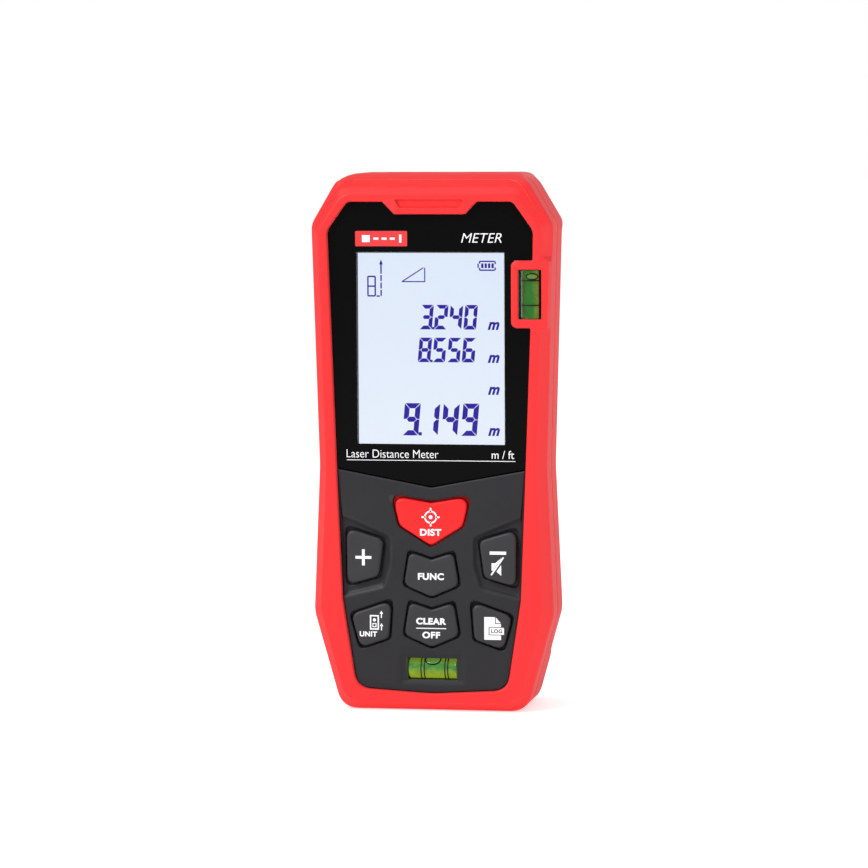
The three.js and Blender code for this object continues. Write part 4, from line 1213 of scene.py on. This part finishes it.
# %% Print on the window
FILM = 0.012
WINDOW_INK = WINDOW_FRONT - FILM
window_marks = [bar((-18.6, 54.55), (18.4, 54.55), 0.14)]
window_marks += letters("Laser Distance Meter", -8.5, 55.95, 1.75, 20.2, bold=-0.008)
window_marks += letters("m / ft", 15.7, 55.95, 1.75, 4.9, bold=0.0)
window_marks += letters("METER", 11.2, 102.6, 2.0, 8.8, lean=0.25, bold=-0.008)
print_marks("marks_window", window_marks, HOUSING, WINDOW_INK, PRINT, thick=FILM)
badge = outline(rectangle(-16.4, -5.0, 100.8, 104.1, 0.3), 3)
print_marks("badge_plain", [badge], HOUSING, WINDOW_INK, RED_PRINT, thick=FILM)
beam = [bar((-14.9, 102.45), (-13.2, 102.45), 1.5), bar((-6.5, 101.6), (-6.5, 103.3), 0.5)]
beam += [bar((x, 102.45), (x + 1.1, 102.45), 0.45) for x in (-12.4, -10.6, -8.8)]
print_marks("badge_beam", beam, HOUSING, WINDOW_INK - FILM, PRINT, thick=FILM)


# %% [markdown]
# ## The lit display
#
# A backlit liquid-crystal display is an even, cold white with a slow drift of brightness. The
# readout sits just in front of it as thin dark segments. Each digit is the usual seven bars, drawn
# once in a unit cell and placed in a loop, leaning a little as such displays do.

# %% Display glow
GLOW = finish("display_glow", (0.05, 0.06, 0.08), 0.3, grain=(200, 0.0, 0.0005))
tree = GLOW.node_tree
shader = tree.nodes["Principled BSDF"]
place = node(tree, "TexCoord").outputs["Object"]
parts = node(tree, "SeparateXYZ", {"Vector": place})
rise = node(tree, "MapRange", {
    "Value": parts.outputs["Z"], "From Min": LCD["bottom"] * MM, "From Max": LCD["top"] * MM,
})
cloud = node(tree, "TexNoise", {"Vector": place, "Scale": 30.0, "Detail": 1.0})
blend_in = node(tree, "Math", {0: rise.outputs[0], 1: cloud.outputs["Fac"]}, operation="MULTIPLY")
glow = node(tree, "ValToRGB", {"Fac": blend_in.outputs[0]})
glow.color_ramp.elements[0].color = (0.82, 0.88, 1.0, 1)
glow.color_ramp.elements[1].color = (0.70, 0.78, 0.98, 1)
tree.links.new(glow.outputs["Color"], shader.inputs["Emission Color"])
adjust(GLOW, {"Emission Strength": 1.04})
print("display is", round(LCD["right"] - LCD["left"], 1), "by", round(LCD["top"] - LCD["bottom"], 1), "mm")

# %% Seven-bar digits
BARS_OF = {"0": "abcdef", "1": "bc", "2": "abged", "3": "abgcd", "4": "fgbc",
           "5": "afgcd", "6": "afgedc", "8": "abcdefg", "9": "abcdfg"}


def digit(char, x, z, width, height, thick, lean=0.09):
    """The bars of one digit whose lower left corner is at x, z."""
    g, t, w, h = 0.06, thick, width, height
    top = [(t + g, h - t), (w - t - g, h - t), (w - 2 * g, h), (2 * g, h)]
    middle = [(t / 2 + 2 * g, h / 2), (t + g, h / 2 - t / 2), (w - t - g, h / 2 - t / 2),
              (w - t / 2 - 2 * g, h / 2), (w - t - g, h / 2 + t / 2), (t + g, h / 2 + t / 2)]
    left = [(0, h / 2 + g), (t * 0.5, h / 2 + g), (t, h / 2 + t / 2 + g), (t, h - t - g), (0, h - 2 * g)]
    shapes = {
        "a": top,
        "g": middle,
        "d": [(px, h - pz) for px, pz in reversed(top)],
        "f": left,
        "e": [(px, h - pz) for px, pz in reversed(left)],
        "b": [(w - px, pz) for px, pz in reversed(left)],
        "c": [(w - px, h - pz) for px, pz in left],
    }
    return [
        [Vector((x + px + lean * pz, z + pz)) for px, pz in shapes[bar_name]] for bar_name in BARS_OF[char]
    ]


print("an 8 has", len(digit("8", 0, 0, 2.75, 5.3, 0.82)), "bars")


# %% Readings
def reading(words, right, z, width, height, thick, pitch):
    """A number set to the right, with its point between the first two digits."""
    shapes = []
    digits = words.replace(".", "")
    left = right - pitch * (len(digits) - 1) - width
    for k, char in enumerate(digits):
        shapes += digit(char, left + k * pitch, z, width, height, thick)
    point, half = left + width + (pitch - width) / 2 + 0.05, thick * 0.32
    return [*shapes, bar((point - half, z + half), (point + half, z + half), thick * 0.64)]


print("bars in 3.240 with its point:", len(reading("3.240", 0, 0, 2.75, 5.3, 0.82, 3.22)))


# %% Readout
INK_BLUE = finish("display_ink", (0.01, 0.004, 0.1), 0.5, grain=(3000, 0.1, 0.001), drift=(300, 0.15))
adjust(INK_BLUE, {"Emission Color": (0.022, 0.003, 0.36, 1), "Emission Strength": 0.9})
readout = [*reading("3.240", 9.55, 82.8, 2.75, 5.3, 0.82, 3.22),
           *reading("8.556", 9.15, 75.7, 2.75, 5.3, 0.82, 3.22),
           *reading("9.149", 9.6, 59.8, 3.5, 7.0, 1.12, 4.28)]
for z in (83.6, 76.5, 69.6, 60.7):
    readout += letters("m", 13.4, z, 1.75, 2.6, lean=0.3, bold=0.04)
box_line = [((-14.1, 94.2), (-12.5, 94.2)), ((-14.1, 92.1), (-12.5, 92.1)), ((-14.1, 90.0), (-12.5, 90.0)),
            ((-14.1, 90.0), (-14.1, 94.2)), ((-12.5, 90.0), (-12.5, 94.2)), ((-12.2, 89.95), (-11.5, 89.95)),
            ((-11.2, 90.0), (-11.2, 91.3)), ((-11.2, 91.6), (-11.2, 92.9)), ((-11.2, 93.2), (-11.2, 94.5)),
            ((-11.2, 94.8), (-11.2, 96.9))]
readout += [bar(a, b, 0.32) for a, b in box_line]
readout.append(polygon((-11.6, 96.8), (-10.8, 96.8), (-11.2, 97.9)))
slope = [((-6.6, 93.1), (-1.6, 93.1)), ((-1.6, 93.1), (-1.6, 96.1)), ((-6.6, 93.1), (-1.9, 96.1))]
readout += [bar(a, b, 0.24) for a, b in slope]
battery = [((10.4, 95.6), (13.7, 95.6)), ((10.4, 97.5), (13.7, 97.5)), ((10.4, 95.6), (10.4, 96.1)),
           ((10.4, 97.0), (10.4, 97.5)), ((10.09, 96.1), (10.09, 97.0)), ((13.8, 95.6), (13.8, 96.2)),
           ((13.8, 96.9), (13.8, 97.5))]
readout += [bar(a, b, 0.3) for a, b in battery]
readout += [bar((x, 96.05), (x, 97.05), 0.5) for x in (11.0, 11.75, 12.5, 13.25)]
print_marks("readout", readout, HOUSING, LCD_FACE - 0.04, INK_BLUE, thick=0.03)


# %% [markdown]
# ## Spirit levels
#
# A level is a clear tube, nearly full of green spirit, with a bubble and painted rings that frame
# it. True glass in glass in a dark slot needs many light bounces. The spirit is therefore a solid
# rod with a glossy coat, set in a clear rod. The light and shade that glass and spirit would make
# are painted into its green, which changes across it and glows a little. The bubble is a thin lens
# bent round the spirit, whose lightness is a painted glow, with a ring of painted shade where air
# and spirit meet. Both ride on the bubble's own body, so that they can slide.

# %% Spirit, ring and bubble finishes
def spirit(name, stops, axis, start, stop):
    """Green spirit with painted light and shade across the tube, a painted glow and a little cloud in it."""
    made = finish(name, stops[1], 0.12, grain=(700, 0.2, 0.004), drift=(300, 0.4), coat=1.0)
    tree = made.node_tree
    shader = tree.nodes["Principled BSDF"]
    place = node(tree, "TexCoord").outputs["Object"]
    parts = node(tree, "SeparateXYZ", {"Vector": place})
    # Painted light and shade: the colour changes across the tube. It is darker where a real tube's edge lies
    # in shade and lighter where light comes through the spirit.
    across = node(tree, "MapRange", {
        "Value": parts.outputs[axis], "From Min": start * MM, "From Max": stop * MM,
    })
    cloud = node(tree, "TexNoise", {"Vector": place, "Scale": 900.0, "Detail": 3.0})
    stir = node(tree, "MapRange", {"Value": cloud.outputs["Fac"], "To Min": -0.35, "To Max": 0.35})
    where = node(tree, "Math", {0: across.outputs[0], 1: stir.outputs[0]}, operation="ADD")
    ramp = node(tree, "ValToRGB", {"Fac": where.outputs[0]})
    bands = ramp.color_ramp.elements
    while len(bands) < len(stops):
        bands.new(0.5)
    for k, colour in enumerate(stops):
        bands[k].position, bands[k].color = (k + 0.3) / (len(stops) - 0.4), (*colour, 1)
    tree.links.new(ramp.outputs["Color"], shader.inputs["Base Color"])
    # Painted glow: the same colours are emitted, standing in for light that passes through the spirit.
    tree.links.new(ramp.outputs["Color"], shader.inputs["Emission Color"])
    shader.inputs["Emission Strength"].default_value = 0.6
    return made


SIDE = (low("side_vial", "x"), high("side_vial", "x"))
CROSS = (low("cross_vial", "z"), high("cross_vial", "z"))
# The spirit's own green mixed with painted light and shade. The side list runs from a shaded dark edge to a
# lit yellow-green side, and the cross list runs from a lit yellow bottom through green to the top.
SIDE_GREENS_AND_PAINTED_LIGHT = [(0.03, 0.11, 0.015), (0.03, 0.21, 0.025), (0.04, 0.23, 0.03), (0.15, 0.33, 0.05)]
CROSS_GREENS_AND_PAINTED_LIGHT = [(0.42, 0.55, 0.03), (0.30, 0.46, 0.03), (0.06, 0.32, 0.07), (0.22, 0.36, 0.03)]
SIDE_SPIRIT = spirit("side_spirit", SIDE_GREENS_AND_PAINTED_LIGHT, "X", SIDE[0] + 0.2, SIDE[1] - 0.2)
CROSS_SPIRIT = spirit("cross_spirit", CROSS_GREENS_AND_PAINTED_LIGHT, "Z", CROSS[0] + 0.2, CROSS[1] - 0.4)
# Painted light: the bubble is air. Its pale green and its glow stand for the light that passes through it and
# shines off it.
BUBBLE_PAINTED_GLOW = finish("bubble_painted_glow", (0.16, 0.34, 0.07), 0.08, grain=(600, 0.0, 0.002), drift=(500, 0.3), coat=1.0)
adjust(BUBBLE_PAINTED_GLOW, {"Emission Color": (0.2, 0.42, 0.08, 1), "Emission Strength": 0.5})
# Painted shade: a dark ring stands for the dark line that bent light shows at the bubble's edge.
MENISCUS_PAINTED_SHADE = finish("bubble_edge", (0.003, 0.012, 0.003), 0.4, grain=(600, 0.0, 0.002))
RING_PAINT = finish("ring_paint", (0.012, 0.014, 0.01), 0.35, grain=(2000, 0.2, 0.002))
print("the side level is", round(SIDE[1] - SIDE[0], 2), "mm across")


# %% Bending a shape round the spirit
BUBBLE_AT = 1.86
BUBBLE_THICK = 0.14


def wrapped(shape, vial, axis, along, turn):
    """Turns (along, angle, distance) coordinates into places round the rod of spirit."""
    x, y, z = centre_of(vial)
    for v in shape.verts:
        angle, out = math.radians(turn + v.co.y), v.co.z
        sideways, forward = out * math.sin(angle), out * math.cos(angle)
        if axis == "z":
            v.co = Vector((x + sideways, y - forward, z + along + v.co.x)) * MM
        else:
            v.co = Vector((x + along + v.co.x, y - forward, z + sideways)) * MM
    bmesh.ops.recalc_face_normals(shape, faces=shape.faces)
    return shape


def bubble_body(long, wide):
    """A lens of air: a ball flattened against the spirit's surface."""
    bm = bmesh.new()
    bmesh.ops.create_uvsphere(bm, u_segments=40, v_segments=20, radius=1)
    for v in bm.verts:
        v.co = Vector((v.co.x * long, v.co.y * wide, BUBBLE_AT + BUBBLE_THICK * v.co.z))
    return bm


print("the bubble's middle lies", BUBBLE_AT, "mm from the axis")


# %% The painted shade line round a bubble
def bubble_edge(long, wide, thick):
    """Painted shade: the dark line that bent light makes where air, spirit and tube meet, as a thin bent
    ring.
    """
    bm = bmesh.new()
    turns, sides, middle = 72, 10, 1.93
    loops = []
    for i in range(turns):
        t, loop = math.tau * i / turns, []
        for j in range(sides):
            u = math.tau * j / sides
            grow = 1 + thick / long * math.cos(u)
            grow_wide = 1 + thick / (1.9 * math.radians(wide)) * math.cos(u)
            out = middle + thick * math.sin(u)
            loop.append(bm.verts.new((long * math.cos(t) * grow, wide * math.sin(t) * grow_wide, out)))
        loops.append(loop)
    for i in range(turns):
        for j in range(sides):
            a, b = loops[i], loops[(i + 1) % turns]
            bm.faces.new((a[j], b[j], b[(j + 1) % sides], a[(j + 1) % sides]))
    return bm


trial = bubble_edge(1.7, 38, 0.15)
print("the dark line has", len(trial.faces), "faces")
trial.free()


# %% Tubes, spirit, rings and bubbles
LEVELS = {"side_vial": ("z", SIDE_SPIRIT), "cross_vial": ("x", CROSS_SPIRIT)}
RING_PLACES = {"side_vial": [-2.3, 3.0], "cross_vial": [-2.46, -1.74, 2.79, 3.41]}
BUBBLES = {"side_vial": {"along": 0.35, "turn": 14, "long": 0.62, "wide": 38},
           "cross_vial": {"along": 0.0, "turn": 66, "long": 1.7, "wide": 38}}
for vial, (axis, liquid) in LEVELS.items():
    centre, half = centre_of(vial), half_size(vial, axis)
    bubble_node = vial.replace("vial", "bubble")
    tube = [(-half, 0), (-half, 2.05), (-half + 0.2, 2.25), (half - 0.2, 2.25), (half, 2.05), (half, 0)]
    piece(lathe(vial + "_tube", tube, centre, axis), HOUSING, ACRYLIC, [vial])
    rod = [(-half + 0.15, 0), (-half + 0.15, 1.7), (-half + 0.25, 1.84), (half - 0.25, 1.84),
           (half - 0.15, 1.7), (half - 0.15, 0)]
    piece(lathe(vial + "_spirit", rod, centre, axis), HOUSING, liquid, [vial + "_liquid"])
    plug = [(half - 0.12, 0), (half - 0.12, 1.7), (half - 0.04, 1.7), (half - 0.04, 0)]
    piece(lathe(vial + "_stopper", plug, centre, axis), HOUSING, ACRYLIC, [vial + "_plug"])
    width = 0.16 if vial == "side_vial" else 0.13
    for k, at in enumerate(RING_PLACES[vial]):
        band = [(at - width, 2.26), (at - width, 2.31), (at + width, 2.31), (at + width, 2.26),
                (at - width, 2.26)]
        piece(lathe(f"{vial}_ring_{k + 1}", band, centre, axis), HOUSING, RING_PAINT)
    spot = centre_of(bubble_node, axis)[0] - centre["xyz".index(axis)]
    b = BUBBLES[vial]
    body = wrapped(bubble_body(b["long"], b["wide"]), vial, axis, spot + b["along"], b["turn"])
    piece(mesh_object(bubble_node + "_air", body), bubble_node, BUBBLE_PAINTED_GLOW, [bubble_node])
    edge = wrapped(bubble_edge(b["long"], b["wide"], 0.15), vial, axis, spot + b["along"], b["turn"])
    piece(mesh_object(bubble_node + "_edge", edge), bubble_node, MENISCUS_PAINTED_SHADE)
    print(bubble_node, "sits", round(spot, 2), "mm along its tube")


# %% [markdown]
# ## The rear shell
#
# The back is a tray of dark, grained plastic with a bevelled rim. Its flat back has a recess for
# the battery cover, the battery bay behind it, and four deep holes for the screws. The flat is
# filled between these outlines, and each recess is a set of rings of its own.

# %% Rear shell
PANEL_BOTTOM, PANEL_TOP, PANEL_SIDE = 9.0, 63.6, high("battery_door", "x")
PANEL_ROUND = 0.3
PANEL_FRONT = BACK - 1.2
BAY_SIDE, BAY_LOW, BAY_HIGH, BAY_FRONT = 11.2, 10.6, 61.8, 1.0
SCREWS = [centre_of(f"case_screw_{k}", "xz") for k in (1, 2, 3, 4)]

skin = Skin()
shell_lines = {d: outline(inset(PLAIN_BODY, d)) for d in (2.3, 5.2, 5.7, 3.8, 6.2)}
shell_section = [(0, REAR_CASE_FRONT, 0), (0, BACK - 3, 2.2), (2.9, BACK, 1.6), (3.4, BACK, 0)]
profile = rounded_path(shell_section, steps=6)
outside = []
for p in profile:
    line = between(shell_lines[2.3], shell_lines[5.2], min(1, p.x / 2.9))
    line = between(line, shell_lines[5.7], max(0, (p.x - 2.9) / 0.5))
    outside.append(skin.ring(line, p.y))
skin.strip(*outside)
cavity = [skin.ring(shell_lines[3.8], REAR_CASE_FRONT), skin.ring(shell_lines[3.8], BACK - 3.4),
          skin.ring(shell_lines[6.2], BACK - 1.5)]
skin.strip(outside[0], *cavity)

recess = rectangle(-PANEL_SIDE - 0.3, PANEL_SIDE + 0.3, PANEL_BOTTOM - 0.3, PANEL_TOP + 0.3, 1.2)
RECESS_FLOOR = PANEL_FRONT - 0.3
rings = []
for out, back in quarter_round(4):
    line = outline(inset(recess, -PANEL_ROUND * out), 6)
    rings.append(skin.ring(line, BACK - PANEL_ROUND * back))
rings.append(skin.ring(outline(recess, 6), RECESS_FLOOR))
skin.strip(*rings)
bay_line = outline(rectangle(-BAY_SIDE, BAY_SIDE, BAY_LOW, BAY_HIGH, 0.6), 4)
bay_wall = outline(rectangle(-BAY_SIDE - 1, BAY_SIDE + 1, BAY_LOW - 1, BAY_HIGH + 1, 0.6), 4)
bay = [skin.ring(bay_line, RECESS_FLOOR), skin.ring(bay_line, BAY_FRONT)]
skin.strip(*bay)
skin.fill(bay[1])
skin.fill(rings[-1], bay[0])
bay_outer = [skin.ring(bay_wall, BACK - 1.5), skin.ring(bay_wall, 0)]
skin.strip(*bay_outer)
skin.fill(bay_outer[1])

skin.fill(outside[-1], rings[0])
skin.fill(cavity[-1], bay_outer[0])
rear_shell = mesh_object("rear_shell", skin.bm)
print("rear shell before its holes:", len(rear_shell.data.polygons), "faces")

# %% Screw posts and their stepped holes
post = [(-1.2, 0), (-1.2, 3.3), (BACK - 1, 3.3), (BACK - 1, 0)]
hole = [(-2, 0), (-2, 1.35), (9.0, 1.35), (9.0, 2.3), (BACK - 0.28, 2.3), (BACK - 0.08, 2.38),
        (BACK, 2.55), (BACK + 1, 3.4), (BACK + 1, 0)]
for x, z in SCREWS:
    carve(rear_shell, lathe("post", post, (x, 0, z), "y", 40), operation="UNION")
    carve(rear_shell, lathe("hole", hole, (x, 0, z), "y", 40))
print("rear shell with its screw holes:", len(rear_shell.data.polygons), "faces")

# %% Cut the strap pocket, the cover's lug slots and the optical holes
PIN = centre_of("strap_pin")
BLOCK_BACK = 12.3
block = box_object("strap_block", (-22, -15.6), (3.6, BLOCK_BACK), (PIN[2] - 5, PIN[2] + 5))
carve(block, slab("inside", outline(inset(PLAIN_BODY, 2.8)), 0, BLOCK_BACK), operation="INTERSECT")
carve(rear_shell, block, operation="UNION")
pocket = box_object("pocket", (-30, -17), (5.5, 20), (PIN[2] - 3.1, PIN[2] + 3.1))
soften(pocket, 0.8, 4)
slots = [box_object("slot", (x - 2.9, x + 2.9), (10.0, PANEL_FRONT - 0.29), (6.6, 11.2)) for x in (-7, 7)]
latch = box_object("latch", (-4.6, 4.6), (10.2, 12.6), (62.4, 64.4))
pin_hole = lathe("pin_hole", [(-4.5, 0), (-4.5, 1.0), (4.5, 1.0), (4.5, 0)], PIN, "z", 24)
carve(rear_shell, pocket, pin_hole, *slots, latch,
      flared("cut_c", RECEIVER, RECEIVER_HOLE - 0.7, MOUTH_FLOOR),
      flared("cut_d", EMITTER, EMITTER_HOLE - 1.1, MOUTH_FLOOR))
piece(rear_shell, HOUSING, SHELL, ["rear_case"], sharp=40)

# %% Strap pin
half = half_size("strap_pin", "z")
pin = [(-half, 0), (-half, 0.6), (-half + 0.2, 0.8), (half - 0.2, 0.8), (half, 0.6), (half, 0)]
piece(lathe("strap_pin_turned", pin, PIN, "z", 32), HOUSING, STEEL, ["strap_pin"])


# %% [markdown]
# ## The battery cover
#
# The cover is a flat panel that lies flush in its recess. Two lugs at its lower edge hook under
# the shell and make the hinge, and a springy tongue between two slits, with three finger ridges,
# closes the upper edge. Small boxes are joined to the panel, and the rim of its outer face is rounded.

# %% Battery cover
skin = Skin()
panel = rectangle(-PANEL_SIDE, PANEL_SIDE, PANEL_BOTTOM, PANEL_TOP, 1.1)
rings = [skin.ring(outline(panel, 6), PANEL_FRONT)]
for up, aside in quarter_round(4):
    rings.append(skin.ring(outline(inset(panel, PANEL_ROUND * aside), 6), BACK - PANEL_ROUND * up))
skin.strip(*rings)
skin.fill(rings[0])
skin.fill(rings[-1])
cover = mesh_object("battery_cover", skin.bm)
INTO_PANEL = PANEL_FRONT + 0.2
for side in (-1, 1):
    across = (side * 7 - 2.5, side * 7 + 2.5)
    lug = box_object("lug", across, (10.9, INTO_PANEL), (PANEL_BOTTOM + 0.1, PANEL_BOTTOM + 1.4))
    lug_tip = box_object("lug_tip", across, (10.9, 11.7), (PANEL_BOTTOM - 1.8, PANEL_BOTTOM + 0.2))
    carve(cover, lug, lug_tip, operation="UNION")
catch = box_object("catch", (-4, 4), (10.7, INTO_PANEL), (PANEL_TOP - 0.9, PANEL_TOP - 0.1))
carve(cover, catch, operation="UNION")
cuts = [box_object("slit", (x, x + 0.5), (10, 15), (PANEL_TOP - 7, PANEL_TOP + 1)) for x in (-5.2, 4.7)]
groove = [(-3.4, 0), (-3.4, 0.5), (3.4, 0.5), (3.4, 0)]
for down in (1.2, 2.4, 3.6):
    cuts.append(lathe("groove", groove, (0, BACK + 0.22, PANEL_TOP - 1.9 - down), "x", 24))
arrow = slab("arrow", polygon((-1.5, 54.6), (1.5, 54.6), (0, 52.6)), BACK - 0.25, BACK + 1)
carve(cover, *cuts, arrow)
piece(cover, "battery_cover", SHELL, ["battery_door"], sharp=35)


# %% [markdown]
# ## Cells
#
# Two AAA cells lie side by side, one each way up. A cell is a steel can in a printed sleeve whose
# ends are shrunk over the rim, with a pip at the positive end. The lathe turns can and sleeve
# separately, so each keeps its own finish.

# %% Cells
def cell(name, up):
    half, radius = half_size(name, "z"), half_size(name, "x")
    way = 1 if up else -1
    shoulder = half - 1.2
    can = [(-half, 0), (-half, 3.2), (-half + 0.25, 3.6), (-half + 0.25, radius - 0.35),
           (shoulder - 0.3, radius - 0.35), (shoulder - 0.3, 2.6), (shoulder, 2.2), (shoulder, 1.9),
           (half - 0.15, 1.9), (half, 1.75), (half, 0)]
    sleeve = [(-half + 0.05, 3.9), (-half, radius - 0.8), (-half + 0.15, radius - 0.2),
              (-half + 0.5, radius), (shoulder - 0.5, radius), (shoulder - 0.1, radius - 0.2),
              (shoulder, radius - 0.8),
              (shoulder - 0.05, 3.4), (shoulder - 0.25, 3.4), (shoulder - 0.25, radius - 0.3),
              (-half + 0.2, radius - 0.3), (-half + 0.2, 3.9), (-half + 0.05, 3.9)]
    band = [(shoulder - 8, radius + 0.01), (shoulder - 8, radius + 0.03), (shoulder - 6.5, radius + 0.03),
            (shoulder - 6.5, radius + 0.01), (shoulder - 8, radius + 0.01)]
    made = []
    for part, profile in (("can", can), ("sleeve", sleeve), ("band", band)):
        turned = [(along * way, r) for along, r in profile]
        made.append(lathe(f"{name}_{part}", turned, centre_of(name), "z", 64))
    piece(made[0], HOUSING, NICKEL)
    piece(made[1], HOUSING, CELL, [name])
    piece(made[2], HOUSING, CELL_BAND)


cell("battery_left", True)
cell("battery_right", False)


# %% [markdown]
# ## Optical windows and screws
#
# Two small windows sit in the end of the case: dark red filter glass for the returning light and
# clear glass over the laser. The screws have pan heads with a cross recess, cut by two straight
# bars, and shallow grooves stand for the thread.

# %% Optical windows
OPTICAL_WINDOWS = (
    ("receiver_window", RECEIVER_FILTER, "black_window"),
    ("emitter_window", LENS, "optical_glass"),
)
for name, material, slot in OPTICAL_WINDOWS:
    radius, half = half_size(name, "x"), half_size(name, "z")
    glass = [(-half, 0), (-half, radius - 0.1), (-half + 0.1, radius), (half - 0.2, radius),
             (half, radius - 0.2), (half, 0)]
    piece(lathe(name + "_glass", glass, centre_of(name), "z", 64), HOUSING, material, [name])

# %% Case screws
for k, (x, z) in enumerate(SCREWS):
    name = f"case_screw_{k + 1}"
    top, tip = high(name), low(name)
    turned = [(tip, 0), (tip + 0.6, 0.8), (tip + 0.8, 0.98)]
    turned += [(tip + 1.0 + 0.5 * i + shift, r) for i in range(22) for shift, r in ((0, 0.98), (0.25, 0.78))]
    turned += [(top - 1.4, 0.98), (top - 1.4, 1.85), (top - 1.3, 1.95), (top - 0.7, 1.95), (top - 0.3, 1.8),
               (top - 0.08, 1.4), (top, 0.9), (top, 0)]
    screw = lathe(name + "_turned", turned, (x, 0, z), "y", 40)
    for a, b in ((1.15, 0.27), (0.27, 1.15)):
        carve(screw, box_object("cross", (x - a, x + a), (top - 0.9, top + 1), (z - b, z + b)))
    piece(screw, HOUSING, STEEL, [name], sharp=35)


# %% [markdown]
# ## Finishes for the inside pieces
#
# The boards, optics, contacts and foam keep their CAD shapes, because those are already right.
# They only need finishes, which are put in their material slots by name.

# %% Carry over the inner pieces
INNER = {
    GLOW: ["lcd_panel"], WHITE: ["lcd_backlight", "lcd_frame"], AMBER: ["lcd_ribbon"],
    FOAM: ["window_tape", "door_pad"], SILICONE: ["keypad_mat"], BOARD: ["main_board", "receiver_board"],
    BLACK: ["processor_chip", "buzzer", "optics_block"], BRASS: ["laser_barrel", "laser_diode"],
    NICKEL: ["shield_can", "photodiode", "bridge_contact", "positive_contact", "negative_contact"],
    STEEL: ["dome_sheet", "optics_screw_1", "optics_screw_2"], LENS: ["receiver_lens", "collimator_lens"],
}
for material, names in INNER.items():
    for name in names:
        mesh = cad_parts[name].data
        mesh.materials.clear()
        mesh.materials.append(material)
print("inner pieces finished:", sum(len(names) for names in INNER.values()))


# %% [markdown]
# ## Floor, light and camera
#
# The meter stands on its flat end on a pale floor. Large soft lights above and beside it give
# even light with gentle edges, as in a plain studio. A bright wide sky fills the shadows, but it
# shows darker in reflections, as a studio's dark room would, so that the gloss window stays deep.

# %% Floor
FLOOR, tree, shader = new_material("pale_floor")
adjust(FLOOR, {"Roughness": 0.9, "Specular IOR Level": 0.0, "Emission Strength": 0.5})
speck = node(tree, "TexNoise", {"Scale": 40.0, "Detail": 3.0})
pale = node(tree, "ValToRGB", {"Fac": speck.outputs["Fac"]})
pale.color_ramp.elements[0].color = (0.9, 0.9, 0.9, 1)
pale.color_ramp.elements[1].color = (0.94, 0.94, 0.94, 1)
ray = node(tree, "LightPath")
dimmed = node(tree, "Mix", {"Factor": ray.outputs["Is Glossy Ray"]}, data_type="RGBA")
tree.links.new(pale.outputs["Color"], dimmed.inputs[6])
dimmed.inputs[7].default_value = (0.12, 0.12, 0.12, 1)
tree.links.new(dimmed.outputs[2], shader.inputs["Base Color"])
tree.links.new(dimmed.outputs[2], shader.inputs["Emission Color"])
FLOOR_RADIUS = 6.0
disc = bmesh.new()
bmesh.ops.create_circle(disc, cap_ends=True, segments=96, radius=FLOOR_RADIUS)
floor = mesh_object("floor", disc)
floor.data.materials.append(FLOOR)
print("floor radius in metres:", FLOOR_RADIUS)

# %% Sky
world = bpy.data.worlds.new("studio")
bpy.context.scene.world = world
world.use_nodes = True
tree = world.node_tree
back_light = tree.nodes["Background"]
ray = node(tree, "LightPath")
strength = node(tree, "MapRange", {"Value": ray.outputs["Is Glossy Ray"], "To Min": 0.64, "To Max": 0.08})
seen = node(tree, "Mix", {0: ray.outputs["Is Camera Ray"], 3: 1.0}, data_type="FLOAT")
tree.links.new(strength.outputs[0], seen.inputs[2])
back_light.inputs["Color"].default_value = (1, 1, 1, 1)
tree.links.new(seen.outputs[0], back_light.inputs["Strength"])
print("nodes in the sky:", len(tree.nodes))

# %% Lamps
middle = Vector((0, 0, HEIGHT / 2 * MM))


def soft_lamp(name, place, width, height, power):
    """A rectangular lamp that faces the middle of the instrument."""
    data = bpy.data.lights.new(name, "AREA")
    data.shape, data.size, data.size_y, data.energy = "RECTANGLE", width, height, power
    lamp = bpy.data.objects.new(name, data)
    lamp.location = place
    lamp.rotation_euler = (Vector(place) - middle).to_track_quat("Z", "Y").to_euler()
    bpy.context.scene.collection.objects.link(lamp)
    print(name, "gives", power, "W")


soft_lamp("key_lamp", (-0.62, -0.62, 0.72), 0.5, 0.5, 6.6)
soft_lamp("side_lamp", (0.85, -0.02, 0.2), 0.3, 0.7, 1.6)
soft_lamp("top_lamp", (0.0, -0.1, 0.9), 0.7, 0.5, 1.5)

# %% Camera
AZIMUTH, ELEVATION, ROLL = math.radians(10.26), math.radians(4.71), math.radians(-0.31)
DISTANCE = 0.881
ASIDE, UP = -1.551 * MM, 59.32 * MM
target = Vector((math.cos(AZIMUTH) * ASIDE, math.sin(AZIMUTH) * ASIDE, UP))
level = math.cos(ELEVATION)
away = Vector((math.sin(AZIMUTH) * level, -math.cos(AZIMUTH) * level, math.sin(ELEVATION)))
camera_data = bpy.data.cameras.new("camera")
camera_data.lens, camera_data.sensor_width = 167.0, 36.0
camera = bpy.data.objects.new("camera", camera_data)
camera.location = target + away * DISTANCE
rolled = Matrix.Rotation(ROLL, 3, "Z").to_quaternion()
camera.rotation_euler = (away.to_track_quat("Z", "Y") @ rolled).to_euler()
bpy.context.scene.collection.objects.link(camera)
bpy.context.scene.camera = camera
bpy.context.scene.view_settings.view_transform = "Standard"
print("camera stands", DISTANCE, "m away with a lens of", camera_data.lens, "mm")
